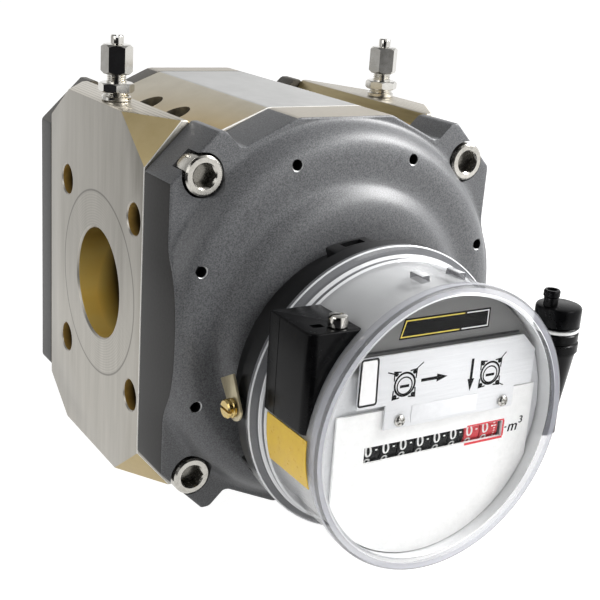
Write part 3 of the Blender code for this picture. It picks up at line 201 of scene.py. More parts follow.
def released(work, name="shape"):
    """Hand a finished drawing on as a mesh."""
    mesh = bpy.data.meshes.new(name)
    work.to_mesh(mesh)
    work.free()
    return mesh


def closed(work):
    """Weld a shape's seams, turn its faces outwards and hand it on as a mesh."""
    bmesh.ops.remove_doubles(work, verts=work.verts, dist=1e-6)
    bmesh.ops.recalc_face_normals(work, faces=work.faces)
    return released(work)


def extruded(outline, low, high, placing=Matrix()):
    """A flat outline raised from low to high."""
    work = bmesh.new()
    lower = [work.verts.new((x, z, low)) for x, z in outline]
    upper = [work.verts.new((x, z, high)) for x, z in outline]
    work.faces.new(lower[::-1])
    work.faces.new(upper)
    for index in range(len(outline)):
        after = (index + 1) % len(outline)
        work.faces.new((lower[index], lower[after], upper[after], upper[index]))
    bmesh.ops.transform(work, verts=work.verts, matrix=placing)
    return closed(work)


def turned(profile, placing=Matrix(), centre=(0, 0), steps=64):
    """A profile of radius and height, turned about an upright line through the centre."""
    work = bmesh.new()
    points = [work.verts.new((radius, 0, height)) for radius, height in profile]
    edges = [work.edges.new(pair) for pair in zip(points, points[1:])]
    if profile[0][0] > 0 and profile[-1][0] > 0:
        edges.append(work.edges.new((points[-1], points[0])))
    bmesh.ops.spin(work, geom=points + edges, cent=(0, 0, 0), axis=(0, 0, 1), angle=2 * pi, steps=steps)
    bmesh.ops.transform(work, verts=work.verts, matrix=placing @ Matrix.Translation((*centre, 0)))
    return closed(work)


def cylinder(radius, low, high, placing=Matrix(), centre=(0, 0), steps=64):
    """A plain round bar from low to high."""
    return turned([(0, low), (radius, low), (radius, high), (0, high)], placing, centre, steps)


def drill(radius, low, high, placing, centre=(0, 0), steps=40, flare=0.0):
    """A tool for a round hole, whose mouth at high opens by a small flare."""
    profile = [(0, low), (radius, low), (radius, high - flare), (radius + flare, high),
               (radius + flare, high + 0.002), (0, high + 0.002)]
    return turned(profile, placing, centre, steps)


def linked(name, data):
    """A new object in the scene."""
    item = bpy.data.objects.new(name, data)
    bpy.context.scene.collection.objects.link(item)
    return item


def settled(item):
    """What an object evaluates to, as a plain mesh, with the object itself removed."""
    bpy.context.view_layer.update()
    mesh = bpy.data.meshes.new_from_object(item.evaluated_get(bpy.context.evaluated_depsgraph_get()))
    bpy.data.objects.remove(item)
    return mesh


def changed(mesh, kind, **settings):
    """A mesh with one modifier applied to it."""
    item = linked("work", mesh)
    step = item.modifiers.new("step", kind)
    for name, value in settings.items():
        setattr(step, name, value)
    return settled(item)


def shaped(mesh, tool, operation="DIFFERENCE"):
    """A mesh cut by, joined with or kept inside a closed tool."""
    tool = linked("tool", tool)
    result = changed(mesh, "BOOLEAN", operation=operation, solver="EXACT", object=tool)
    bpy.data.objects.remove(tool)
    return result


def cut_by(mesh, tools):
    """A mesh cut by one tool after another."""
    for tool in tools:
        mesh = shaped(mesh, tool)
    return mesh


def merged(meshes):
    """Several closed meshes as one mesh of separate shells."""
    work = bmesh.new()
    for mesh in meshes:
        work.from_mesh(mesh)
    return released(work)


def eased(mesh, width, angle=30, segments=2):
    """A mesh with its sharp edges broken."""
    return changed(mesh, "BEVEL", width=width, segments=segments, limit_method="ANGLE",
                   angle_limit=radians(angle), use_clamp_overlap=True)


def piece(name, mesh, body, nodes, finishes, choose=None):
    """Hand a finished mesh over as a piece of the meter, with a finish chosen for each face."""
    mesh.name = name
    mesh.materials.clear()
    for finish in finishes:
        mesh.materials.append(finish)
    for polygon in mesh.polygons:
        polygon.material_index = finishes.index(choose(polygon.center, polygon.normal)) if choose else 0
    mesh.shade_smooth()
    mesh.set_sharp_from_angle(angle=radians(32))
    item = linked(name, mesh)
    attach(item, body)
    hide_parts(*nodes)
    return item


chain = [crown, (trough[0], trough_height, 0.006), (trough[1], trough_height + 0.0003, 0.0025),
         (flange_inner, flange_top, 0.0025), (half_length, flange_top, 0)]
block = extruded(rounded(four_ways(chain)), housing_back, housing_front, to_front)
for front in (1, -1):
    for up in (1, -1):
        for side in (-1, 1):
            depth, drop = facets[front, side]
            corner = Vector((side * half_length, -housing_front if front > 0 else -housing_back,
                             pipe_height + up * flange_top))
            outward = Vector((side / facet_run, -front / depth, up / drop)).normalized()
            middle = corner - Vector((side * facet_run, -front * depth, up * drop)) / 3
            turn = outward.to_track_quat("Z", "Y").to_matrix().to_4x4()
            reach = 0.09
            block = shaped(block, extruded(oblong(-reach, reach, -reach, reach), 0, 2 * reach,
                                           Matrix.Translation(middle) @ turn))
block = eased(block, edge_break)
cutters = []
for side in (-1, 1):
    facing = to_right @ Matrix.Scale(side, 4, (0, 0, 1))
    cutters.append(drill(port_radius, 0.03, half_length, facing, steps=96, flare=port_flare))
    for up in (-1, 1):
        for back in (-1, 1):
            cutters.append(drill(bolt_radius, half_length - bolt_depth, half_length, facing,
                                 (up * bolt_offset, back * bolt_offset), flare=bolt_flare))
    cutters.append(drill(test_hole, flange_top - 0.0113, flange_top, upright, (side * test_x, -test_depth), 24))
for up in (-1, 1):
    cutters.append(cylinder(chamber_radius, housing_back - 0.001, housing_front + 0.001,
                            to_front, (0, up * rotor_offset), 96))
for along in pocket_places:
    cutters.append(drill(pocket_radius, trough_height - 0.007, crown[1], upright, (pocket_x, along), 48))
front_spots = [(side * 0.0705, up * 0.070) for up in (1, -1) for side in (-1, 1)]
rear_spots = [(side * 0.069, up * 0.0685) for up in (1, -1) for side in (-1, 1)]
for spot in front_spots:
    cutters.append(drill(screw_hole, housing_front - 0.0203, housing_front, to_front, spot, 24))
for spot in rear_spots:
    cutters.append(cylinder(screw_hole, housing_back + 0.0288, housing_back - 0.001, to_front, spot, 24))
block = cut_by(block, cutters)

# Milled aluminium: a satin metal with fine streaks left by the cutter, which run up the faces,
# and the rings and the groove that the lathe leaves round the port
milled = grained("milled_aluminium", "#A29E95", "#BFBBB3", 0.38, (0.004, 0.005, 0.050), 0.00001, 1.0, 0.05, 0.3)
tree = milled.node_tree
from_axis = vectors(tree, "SUBTRACT", place_in(tree), (0, 0, pipe_height))
from_axis = vectors(tree, "LENGTH", vectors(tree, "MULTIPLY", from_axis, (0, 1, 1)))
wave = maths(tree, "SINE", maths(tree, "MULTIPLY", from_axis, 2 * pi / turning_pitch))
marks = maths(tree, "MULTIPLY", wave, maths(tree, "LESS_THAN", from_axis, raised_face))
from_groove = maths(tree, "ABSOLUTE", maths(tree, "SUBTRACT", from_axis, raised_face))
groove = maths(tree, "MULTIPLY", ramp(tree, from_groove, 0.00035, 0.00065, 1.0, 0.0), 0.60)
toned(milled, maths(tree, "MAXIMUM", maths(tree, "MULTIPLY_ADD", marks, 0.11, 0.07), groove), "#4A4740")

# Side-milled aluminium: the same metal, with the parallel lines of a side cutter along the flange
side_milled = grained("side_milled_aluminium", "#C2BBAC", "#D6D1C7", 0.36, (0.0009, 0.050, 0.0009), 0.00006, 1.0, 0.06)
tree = side_milled.node_tree
wave = maths(tree, "SINE", maths(tree, "MULTIPLY", place_in(tree, "X"), 2 * pi / cutter_pitch))
toned(side_milled, maths(tree, "MULTIPLY", ramp(tree, wave, 0.80, 0.98), 0.75), "#6F6450")

# Bead-blasted aluminium of the slopes, duller than the milled faces, and tinted gold towards the
# trough and towards the front. The crown above them stays a plain cool grey
blasted = grained("blasted_aluminium", "#C6BFAE", "#D2CCBD", 0.50, (0.010, 0.012, 0.010), 0.00001, 0.6, 0.05)
tree = blasted.node_tree
low = ramp(tree, maths(tree, "ABSOLUTE", place_in(tree, "X")), 0.026, 0.056)
to_cover = ramp(tree, place_in(tree, "Y"), 0.05, -0.05, 0.15, 1.0)
toned(blasted, maths(tree, "MULTIPLY", low, to_cover), "#BFA468")
crown_grey = grained("blasted_aluminium_crown", "#B6B6B5", "#C2C2C1", 0.50, (0.008, 0.012, 0.008), 0.00001, 0.4, 0.04)

# Yellow chromate film: a thin gold tint over bare aluminium, thinnest and most metallic on the flanks behind the
# flanges.
# In the bores it is deeper and browner with painted shade, and the port bore's lower wall is left bright as a painted
# highlight
chromate = grained("chromated_aluminium", "#C8B484", "#D0BD8F", 0.50, 0.008, 0.00001, 0.5, 0.03)
flank_chromate = grained("chromated_flank", "#9E8E66", "#B5A67C", 0.40, (0.004, 0.030, 0.004), 0.00001, 0.8, 0.05)
bore_chromate_and_shade = grained("chromated_bore_painted_shade", "#FFD05C", "#FFE084", 0.32, (0.050, 0.030, 0.030), 0.00001, 0.05, 0.03)
tree = bore_chromate_and_shade.node_tree
# Painted shade in the port bore: the gold darkens with depth and towards the top, so the lower wall stays bright as a
# painted highlight
painted_depth_shade = ramp(tree, maths(tree, "ABSOLUTE", place_in(tree, "X")), half_length - 0.009, 0.065, 0.0, 0.96)
high = ramp(tree, place_in(tree, "Z"), pipe_height - 0.013, pipe_height + 0.019, 0.0, 0.80)
toned(bore_chromate_and_shade, maths(tree, "MAXIMUM", painted_depth_shade, high), "#2A1F0C")
bolt_chromate_and_shade = grained("chromated_bolt_bore_painted_shade", "#C79C4C", "#E2BC6C", 0.32, (0.020, 0.010, 0.010), 0.00001, 0.10, 0.03)
tree = bolt_chromate_and_shade.node_tree
along = maths(tree, "ABSOLUTE", place_in(tree, "X"))
# Painted shade: the bolt bores darken with depth from the mouth
toned(bolt_chromate_and_shade, ramp(tree, along, half_length - 0.0012, half_length - 0.0052, 0.25, 0.95), "#1C1407")

# Walls of the two pockets on top, in shade, and the broken edges, painted near white as a highlight
pocket_metal = grained("shaded_pocket_metal", "#5F5B52", "#7A756A", 0.45, 0.003, 0.00001, 0.8, 0.05)
highlight_edge = grained("painted_highlight_edge", "#F2EFE8", "#FFFDF8", 0.40, 0.002, 0.00001, 0.3, 0.03)


def housing_finish(centre, normal):
    """Which finish a face of the housing has, by where it lies and where it looks."""
    x, depth, z = centre.x, -centre.y, centre.z - pipe_height
    in_bolt = hypot(abs(depth) - bolt_offset, abs(z) - bolt_offset) < bolt_radius + 0.0007
    outside = abs(x) > half_length - 1e-5
    if not outside and (hypot(depth, z) < port_radius + 0.001 or in_bolt and abs(x) > 0.060):
        if 0.2 < abs(normal.x) < 0.95 and abs(x) > half_length - 0.0012:
            return milled
        return bolt_chromate_and_shade if in_bolt else bore_chromate_and_shade
    if outside:
        return milled
    if z > 0.07 and x < 0 and min(hypot(x - pocket_x, centre.y - along) for along in pocket_places) < 0.0078:
        return pocket_metal
    if min(abs(normal.x), abs(normal.y), abs(normal.z)) > 0.2 and abs(x) > 0.06:
        return chromate
    if 0.25 < abs(normal.y) < 0.97:
        return highlight_edge
    if abs(x) > 0.064 and abs(normal.z) > 0.9 and abs(z) > 0.08:
        return side_milled
    if abs(z) > 0.07 and abs(normal.y) < 0.5:
        if 0.0608 < abs(x) < 0.0655:
            return flank_chromate
        if abs(z) > 0.0925 and abs(normal.z) > 0.97 and abs(x) < 0.0255:
            return crown_grey
        if abs(x) < 0.0625:
            return blasted
    return milled


piece("housing_block", block, "meter", ["meter_housing"],
      [milled, side_milled, blasted, chromate, bore_chromate_and_shade, highlight_edge, flank_chromate, pocket_metal,
       crown_grey, bolt_chromate_and_shade], housing_finish)


# Covers: die-cast aluminium with a dark grey structured powder coat. Each is a plate with the
# housing's outline and cut corners, which swells into a round dome over the bearings. The dome
# is drawn as a height over the plate, so that it runs into the ears through soft valleys.

cover_chamfer = 0.0215
cover_valley = (0.0505, 0.0535, 0.0815)
front_cover_back, front_cover_face = 0.0533, 0.0803
rear_cover_back, rear_cover_face = 0.0673, 0.0828
counterbore_radius, counterbore_depth = 0.0099, 0.0105
rear_counterbore_depth = 0.008
dome_hole_circle, dome_hole_radius = 0.081, 0.0025
gear_recess_radius, gear_recess_depth = 0.0562, 0.0093
front_dome = [(0, 0.0185), (0.0505, 0.0185), (0.0575, 0.0176), (0.0615, 0.0152), (0.0645, 0.0120),
              (0.0685, 0.0110), (0.079, 0.0113), (0.084, 0.0102), (0.0875, 0.0075), (0.090, 0.0038),
              (0.0920, 0), (0.2, 0)]
rear_dome = [(0, 0.0135), (0.071, 0.0135), (0.078, 0.0075), (0.080, 0), (0.2, 0)]


def cover_outline():
    """The covers' outline: crown, valleys, and ears cut across at their corners, in short steps."""
    ear = half_length - cover_chamfer
    inner, outer, level = cover_valley
    chain = [crown, (inner, level, 0.005), (outer, level + 0.0002, 0.0025), (ear - 0.0035, flange_top, 0.0028),
             (ear, flange_top, 0.0014), (half_length, flange_top - cover_chamfer, 0.003)]
    corners = rounded(four_ways(chain), 4)
    outline = []
    for (x, z), (next_x, next_z) in zip(corners, corners[1:] + corners[:1]):
        parts = max(1, ceil(hypot(next_x - x, next_z - z) / 0.004))
        outline += [(x + (next_x - x) * part / parts, z + (next_z - z) * part / parts) for part in range(parts)]
    return outline


def swell(profile, radius, soft=0.0008):
    """The height of a dome's profile at a radius, softened over a short span."""
    total = 0
    for step in range(-4, 5):
        at = abs(radius + step * soft / 2)
        for (near, height), (far, far_height) in zip(profile, profile[1:]):
            if near <= at <= far:
                total += height + (far_height - height) * (at - near) / (far - near)
                break
    return total / 9


def domed_cover(profile, back, face, placing):
    """A cover from its back plane to its face, with the dome's profile raised on it."""
    inner_radii = [0.012, 0.030, 0.045, 0.049, 0.052, 0.055, 0.0575, 0.0595, 0.0615, 0.0630, 0.0645,
                   0.0660, 0.0680, 0.0700, 0.0740, 0.0775, 0.0790, 0.0805, 0.0820, 0.0835, 0.0847, 0.0858,
                   0.0868, 0.0877, 0.0886, 0.0893, 0.0899, 0.0905, 0.0911, 0.0918, 0.0926]
    edge = 0.0011
    work = bmesh.new()
    rings = []
    for x, z in cover_outline():
        reach = hypot(x, z)
        radii = [min(radius, reach - edge) for radius in inner_radii]
        span = reach - edge - radii[-1]
        radii += [radii[-1] + span * step / 8 for step in range(1, 9)]
        column = [(radius, face + swell(profile, radius)) for radius in radii]
        top = face + swell(profile, reach - edge)
        for bend in (radians(30), radians(60), radians(90)):
            column.append((reach - edge * (1 - sin(bend)), top - edge * (1 - cos(bend))))
        column += [(reach, back + edge / 2), (reach - edge / 2, back)]
        rings.append([work.verts.new((x / reach * radius, z / reach * radius, height))
                      for radius, height in column])
    middle_front = work.verts.new((0, 0, face + swell(profile, 0)))
    middle_back = work.verts.new((0, 0, back))
    for here, after in zip(rings, rings[1:] + rings[:1]):
        work.faces.new((middle_front, here[0], after[0]))
        work.faces.new((middle_back, after[-1], here[-1]))
        for low in range(len(here) - 1):
            work.faces.new((here[low], here[low + 1], after[low + 1], after[low]))
    bmesh.ops.transform(work, verts=work.verts, matrix=placing)
    return closed(work)


front_shell = domed_cover(front_dome, front_cover_back, front_cover_face, to_front)
rear_shell = domed_cover(rear_dome, rear_cover_back, rear_cover_face, to_rear)
dome_top = front_cover_face + front_dome[0][1]
front_tools, rear_tools = [], []
for spot in front_spots:
    front_tools.append(drill(counterbore_radius, front_cover_face - counterbore_depth, dome_top, to_front, spot, 48))
    front_tools.append(drill(screw_hole, front_cover_back - 0.001, front_cover_face, to_front, spot, 24))
for x, z in rear_spots:
    rear_tools.append(drill(counterbore_radius, rear_cover_face - rear_counterbore_depth, rear_cover_face + 0.014,
                            to_rear, (x, -z), 48))
    rear_tools.append(drill(screw_hole, rear_cover_back - 0.001, rear_cover_face, to_rear, (x, -z), 24))
level = front_cover_face + swell(front_dome, dome_hole_circle)
for index in range(8):
    angle = (index + 0.5) * pi / 4
    spot = (dome_hole_circle * cos(angle), dome_hole_circle * sin(angle))
    front_tools.append(drill(dome_hole_radius, level - 0.006, level + 0.0002, to_front, spot, 24, flare=0.0004))
front_tools.append(drill(0.026, front_cover_back + 0.0045, dome_top - 0.004, to_front, (0, -0.0217), 48))
front_tools.append(drill(0.040, front_cover_back - 0.001, front_cover_face + 0.006, to_front, (0, 0), 64))
for up in (-1, 1):
    spot = (0, up * rotor_offset)
    front_tools.append(cylinder(gear_recess_radius, front_cover_back - 0.001, front_cover_back + gear_recess_depth,
                                to_front, spot, 72))
    rear_tools.append(cylinder(gear_recess_radius, rear_cover_back - 0.001, rear_cover_back + gear_recess_depth,
                               to_rear, spot, 72))
    rear_tools.append(cylinder(0.0390, rear_cover_back - 0.001, rear_cover_back + 0.0228, to_rear, spot, 72))

# Structured powder coat: a satin grey paint film, whose orange-peel grain of about 0.6 mm breaks
# up the light. The rear cover's is browner, and the die's sides are smoother and darker
coat = grained("structured_powder_coat", "#454648", "#727375", 0.44, 0.0006, 0.00016, 0.0, 0.06, 0.16)
coat.node_tree.nodes["Principled BSDF"].inputs["Coat Weight"].default_value = 0.15
coat.node_tree.nodes["Principled BSDF"].inputs["Coat Roughness"].default_value = 0.35
rear_coat = grained("rear_powder_coat", "#3E3A33", "#544F46", 0.46, 0.0006, 0.00016, 0.0, 0.06, 0.16)
smooth_coat = dulled(grained("smooth_powder_coat", "#2E2D2C", "#393837", 0.36, 0.0015, 0.00005, 0.0, 0.04), 0.15)
# Pale warm grey painted on the crowns' flat faces as light from above, the unlit dome holes, and a painted highlight on
# their rims
crown_light_coat = grained("crown_coat_painted_light", "#A39D92", "#B0AAA0", 0.45, 0.0015, 0.00004, 0.2, 0.04)
hole_shade = grained("unlit_blind_hole", "#0A0A0A", "#121212", 0.60, 0.001)
hole_rim = grained("hole_rim_painted_highlight", "#B9BABA", "#C8C9C9", 0.40, 0.001, 0.00001, 0.5, 0.03)


def cover_finish(centre, normal):
    """The face is structured, the sides are smooth, the crown is painted paler as lit from above, the hole rims carry a
    painted highlight and the holes are dark.
    """
    x, z = centre.x, centre.z - pipe_height
    spoke = radians(22.5 + 45 * round((degrees(atan2(z, x)) - 22.5) / 45))
    from_hole = hypot(x - dome_hole_circle * cos(spoke), z - dome_hole_circle * sin(spoke))
    if centre.y < 0 and from_hole < dome_hole_radius + 0.0005:
        if abs(normal.y) < 0.3 or from_hole < dome_hole_radius - 0.0002:
            return hole_shade
        if abs(normal.y) < 0.95:
            return hole_rim
    if abs(z) > 0.092 and abs(normal.z) > 0.9 and abs(x) < 0.0262:
        return crown_light_coat
    if abs(normal.x) > 0.9 and abs(x) > half_length - 0.002:
        return smooth_coat
    return coat if centre.y < 0 else rear_coat


for end, shell, tools, main in (("front", front_shell, front_tools, coat), ("rear", rear_shell, rear_tools, rear_coat)):
    piece(f"{end}_cover_casting", cut_by(shell, tools), "meter", [f"{end}_cover"],
          [main, smooth_coat, crown_light_coat, hole_shade, hole_rim], cover_finish)


# Cover screws: eight alike socket cap screws of bright zinc-plated steel, with a knurled head, a
# broken edge round the face and a forged hexagon socket. One screw is modelled and set out on
# the four corners of each cover.

screw_head_radius = 0.0089
screw_head_height = 0.012
screw_shank_radius = 0.0058
screw_length = 0.036
socket_flats = 0.010


def socket_screw():
    """One screw about the origin, with the seat of its head at height zero."""
    flutes = 60
    profile = [(0, screw_head_height), (0.0062, screw_head_height), (0.0080, screw_head_height - 0.0001),
               (0.0088, screw_head_height - 0.0009), (0.0088, screw_head_height - 0.0019),
               (screw_head_radius, screw_head_height - 0.0021), (screw_head_radius, 0.0012), (0.0084, 0),
               (screw_shank_radius, 0), (screw_shank_radius, 0.0008 - screw_length),
               (screw_shank_radius - 0.0008, -screw_length), (0, -screw_length)]
    mesh = turned(profile, steps=2 * flutes)
    for vertex in mesh.vertices:
        radius = hypot(vertex.co.x, vertex.co.y)
        if abs(radius - screw_head_radius) < 1e-5:
            spoke = round(atan2(vertex.co.y, vertex.co.x) / (pi / flutes))
            if spoke % 2:
                vertex.co.x *= 1 - 0.00010 / radius
                vertex.co.y *= 1 - 0.00010 / radius
    corner = socket_flats / sqrt(3)
    hexagon = [(corner * cos(a * pi / 3), corner * sin(a * pi / 3)) for a in range(6)]
    mesh = shaped(mesh, extruded(hexagon, screw_head_height - 0.006, screw_head_height + 0.001))
    lead_in = turned([(0, screw_head_height - 0.0009), (corner - 0.0008, screw_head_height - 0.0009),
                      (corner + 0.0002, screw_head_height + 0.0001),
                      (corner + 0.0002, screw_head_height + 0.001), (0, screw_head_height + 0.001)], steps=36)
    return shaped(mesh, lead_in)


def set_out(name, part, spots, finish):
    """Set one part out on points, each with its own turn, through Geometry Nodes, as one plain mesh."""
    part.materials.clear()
    part.shade_smooth()
    part.set_sharp_from_angle(angle=radians(32))
    template = linked("part", part)
    points = bpy.data.meshes.new("points")
    points.from_pydata([spot[0] for spot in spots], [], [])
    turn = points.attributes.new("turn", "FLOAT_VECTOR", "POINT")
    for index, spot in enumerate(spots):
        turn.data[index].vector = spot[1]
    carrier = linked("points", points)
    tree = bpy.data.node_groups.new(name, "GeometryNodeTree")
    face = tree.interface
    face.new_socket("Points", in_out="INPUT", socket_type="NodeSocketGeometry")
    part_input = face.new_socket("Part", in_out="INPUT", socket_type="NodeSocketObject")
    finish_input = face.new_socket("Finish", in_out="INPUT", socket_type="NodeSocketMaterial")
    face.new_socket("Parts", in_out="OUTPUT", socket_type="NodeSocketGeometry")
    start = add(tree, "NodeGroupInput")
    source = add(tree, "GeometryNodeObjectInfo", {"Object": start.outputs["Part"], "As Instance": True})
    turns = add(tree, "GeometryNodeInputNamedAttribute", {"Name": "turn"}, data_type="FLOAT_VECTOR")
    to_turn = add(tree, "FunctionNodeEulerToRotation", {0: turns.outputs[0]})
    placed = add(tree, "GeometryNodeInstanceOnPoints", {"Points": start.outputs["Points"],
                                                        "Instance": source.outputs["Geometry"],
                                                        "Rotation": to_turn.outputs[0]})
    real = add(tree, "GeometryNodeRealizeInstances", {"Geometry": placed.outputs[0]})
    coated = add(tree, "GeometryNodeSetMaterial", {"Geometry": real.outputs[0],
                                                   "Material": start.outputs["Finish"]})
    add(tree, "NodeGroupOutput", {0: coated.outputs[0]})
    step = carrier.modifiers.new(name, "NODES")
    step.node_group = tree
    step[part_input.identifier] = template
    step[finish_input.identifier] = finish
    mesh = settled(carrier)
    bpy.data.objects.remove(template)
    return mesh


# Bright zinc-plated steel: a clean, slightly milky metal
zinc_steel = grained("zinc_plated_steel", "#AFACA5", "#C9C6BF", 0.24, 0.0015, 0.00003, 1.0, 0.07)
front_seat = front_cover_face - counterbore_depth + 0.0003
rear_seat = rear_cover_face - rear_counterbore_depth + 0.0003
spots = [((x, -front_seat, pipe_height + z), (radians(90), 0, 0)) for x, z in front_spots]
spots += [((x, rear_seat, pipe_height + z), (radians(-90), 0, 0)) for x, z in rear_spots]
corners = ("upper_left", "upper_right", "lower_left", "lower_right")
screw_nodes = [f"{end}_screw_{corner}" for end in ("front", "rear") for corner in corners]
# Inside of the sockets: the same steel, darkened as painted shade
socket_steel = grained("socket_steel_painted_shade", "#76736C", "#8E8B84", 0.24, 0.002, 0.00001, 0.8, 0.06)


def screw_finish(centre, normal):
    """The socket of each screw is darker with painted shade, and the rest of it is bright."""
    near = rear_spots if centre.y > 0 else front_spots
    off = min(hypot(centre.x - x, centre.z - pipe_height - z) for x, z in near)
    face = rear_seat + screw_head_height if centre.y > 0 else -front_seat - screw_head_height
    return socket_steel if off < 0.00575 and 0.0004 < abs(centre.y - face) < 0.0065 else zinc_steel


screws = set_out("screws on corners", socket_screw(), spots, zinc_steel)
piece("cover_screws", screws, "meter", screw_nodes, [zinc_steel, socket_steel], screw_finish)


# Running gear: rotors of drawn aluminium on steel bearings, steel timing gears at the back, and
# the small gear and ferrite magnet that pass the motion on. All of it is inside, and only the
# rotors show, through the ports.


def dress(name, finish):
    """Give a CAD piece that is kept as it is its finish."""
    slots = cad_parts[name].data.materials
    slots.clear()
    slots.append(finish)


# Planed rotor aluminium with fine lines along its axis, ground bearing and gear steel with an
# even sheen, and pressed ferrite, which is a dull dark grey
rotor_metal = grained("machined_rotor_aluminium", "#B5B6B6", "#C9CAC9", 0.30, (0.0010, 0.030, 0.0010), 0.00003, 1.0, 0.05)
gear_steel = grained("ground_gear_steel", "#A9A9A8", "#C2C2C0", 0.28, 0.0012, 0.00002, 1.0, 0.05)
ferrite = grained("pressed_ferrite", "#2B2B2D", "#3A3A3C", 0.45, 0.0008, 0.00003, 0.3, 0.06)
inner_finishes = {
    rotor_metal: ("rotor_upper", "rotor_lower", "front_bearing_plate", "rear_bearing_plate"),
    gear_steel: ("front_bearing_upper", "front_bearing_lower", "rear_bearing_upper", "rear_bearing_lower",
                 "timing_gear_upper", "timing_gear_lower", "drive_pinion", "wheel_axle"),
    ferrite: ("drive_magnet", "index_magnet"),
}
for finish, nodes in inner_finishes.items():
    for name in nodes:
        dress(name, finish)


# Test points: two nickel-plated brass couplings on top of the flanges, each a washer, a threaded
# body with eight flats, a hexagon cap and a small slotted plug, all turned and milled from bar.
# Each pair of parts is screwed up by hand and stands at its own turn.

def nut(sides, flats, low, high, chamfer, turn=0.0):
    """An upright bar with equal flats and its corners turned off at both ends."""
    corner = flats / 2 / cos(pi / sides)
    angles = [turn + index * 2 * pi / sides for index in range(sides)]
    outline = [(corner * cos(angle), corner * sin(angle)) for angle in angles]
    bar = extruded(outline, low, high)
    past = 0.0005
    lathe = flats / 2 - 0.0003 - past * (corner + chamfer - flats / 2 + 0.0003) / (2 * chamfer)
    barrel = [(0, high + past), (lathe, high + past), (corner + chamfer, high - 2 * chamfer),
              (corner + chamfer, low + 2 * chamfer), (lathe, low - past), (0, low - past)]
    return shaped(bar, turned(barrel, steps=72), "INTERSECT")


def test_body():
    """The washer and the threaded body, standing on height zero."""
    washer = turned([(0.0049, 0.0003), (0.0067, 0.0003), (0.0070, 0.0006), (0.0070, 0.0020), (0.0067, 0.0023),
                     (0.0049, 0.0023)], steps=48)
    base = 0.0026
    profile = [(0, base + 0.0147), (0.0028, base + 0.0147), (0.0031, base + 0.0144), (0.0031, base + 0.0097),
               (0.00475, base + 0.0097)]
    for turn in range(3):
        level = base + 0.0095 - turn * 0.0009
        profile += about(0.00475, level, (0, 0), (-0.00055, -0.00025), (-0.00055, -0.00055), (0, -0.0008))
    profile += about(0.0062, base, (-0.00145, 0.0026), (0, 0.0026), (0, 0.0013), (-0.0006, 0.0010),
                     (-0.0006, 0.0006), (0, 0.0003), (0, 0), (-0.0016, 0))
    profile += [(0.0046, -0.011), (0, -0.011)]
    flats = nut(8, 0.0156, base + 0.0016, base + 0.0060, 0.0007)
    return merged([washer, shaped(turned(profile, steps=48), flats, "UNION")])


def test_cap():
    """The hexagon cap and its slotted plug, standing on height zero."""
    start = 0.0126
    cap = nut(6, 0.013, start, start + 0.0136, 0.0012)
    cap = cut_by(cap, [cylinder(0.0034, start - 0.001, start + 0.0055, steps=32),
                       cylinder(0.0025, start + 0.0106, start + 0.0146, steps=32)])
    top = start + 0.0139
    plug = turned([(0, top + 0.0040), (0.0026, top + 0.0040), (0.0030, top + 0.0036), (0.0031, top + 0.0032),
                   (0.0031, top), (0.0022, top), (0.0022, top - 0.0025), (0, top - 0.0025)], steps=40)
    slot = extruded(oblong(-0.0005, 0.0005, -0.005, 0.005), top + 0.0028, top + 0.005)
    return merged([cap, shaped(plug, slot)])


# Bright nickel plate: a warm mirror, with only the faintest grain of the bar under it
nickel = grained("bright_nickel_plate", "#CFCCC5", "#DCDAD5", 0.13, 0.004, 0.00001, 1.0, 0.03)
for name, part, parts, turns in (("bodies", test_body(), ("washer", "body"), (-22, 14)),
                                 ("caps", test_cap(), ("cap", "plug"), (-22, -20))):
    spots = [((side * test_x, -test_depth, pipe_height + flange_top), (0, 0, radians(turn)))
             for side, turn in zip((-1, 1), turns)]
    nodes = [f"test_point_{part_name}_{side}" for part_name in parts for side in ("left", "right")]
    both = set_out(f"test point {name} on flanges", part, spots, nickel)
    piece(f"test_point_{name}", both, "meter", nodes, [nickel])


# Index base: a black moulded tray that snaps round the meter's nose and lets the head swivel.
# Spring clips stand out from its wall, each with a small window.

head_z = -0.0217
to_head = Matrix.Translation((0, 0, pipe_height + head_z)) @ Matrix.Rotation(radians(90), 4, "X")
base_back, base_front = 0.0991, 0.1213
base_radius, rim_radius, clip_radius = 0.0612, 0.0664, 0.0652
clip_places = [radians(angle) for angle in (99, 219, 339)]


def arc(radius, start, end, steps):
    """Points on an arc about the head's axis."""
    angles = [start + (end - start) * step / steps for step in range(steps + 1)]
    return [(radius * cos(angle), radius * sin(angle)) for angle in angles]


tray = turned([(0, base_back), (base_radius - 0.0015, base_back), (base_radius, base_back + 0.0015),
               (base_radius, base_front - 0.0100), (rim_radius - 0.0006, base_front - 0.0088),
               (rim_radius, base_front - 0.0082), (rim_radius, base_front - 0.0006),
               (rim_radius - 0.0006, base_front), (rim_radius - 0.004, base_front),
               (base_radius - 0.004, base_front - 0.0085), (base_radius - 0.004, base_back + 0.0035),
               (0.0055, base_back + 0.0035), (0.0055, base_back + 0.007), (0.0026, base_back + 0.007),
               (0.0026, base_back + 0.00175), (0, base_back + 0.00175)], to_head, steps=128)
for middle in clip_places:
    clip = arc(clip_radius, middle - radians(9.5), middle + radians(9.5), 10)
    clip += arc(base_radius - 0.001, middle + radians(9.5), middle - radians(9.5), 10)
    clip = eased(extruded(clip, base_back + 0.0025, base_front - 0.0098, to_head), 0.0006)
    tray = shaped(tray, clip, "UNION")
    window = arc(clip_radius + 0.001, middle - 0.09, middle + 0.07, 6)
    window += arc(base_radius + 0.001, middle + 0.07, middle - 0.09, 6)
    tray = shaped(tray, extruded(window, base_back + 0.005, base_front - 0.0125, to_head))
tab_z, tab_depth = -0.022, 0.1155
boss_end = -rim_radius - 0.0014
tab_placing = to_right @ Matrix.Translation((-tab_z, -tab_depth, 0))
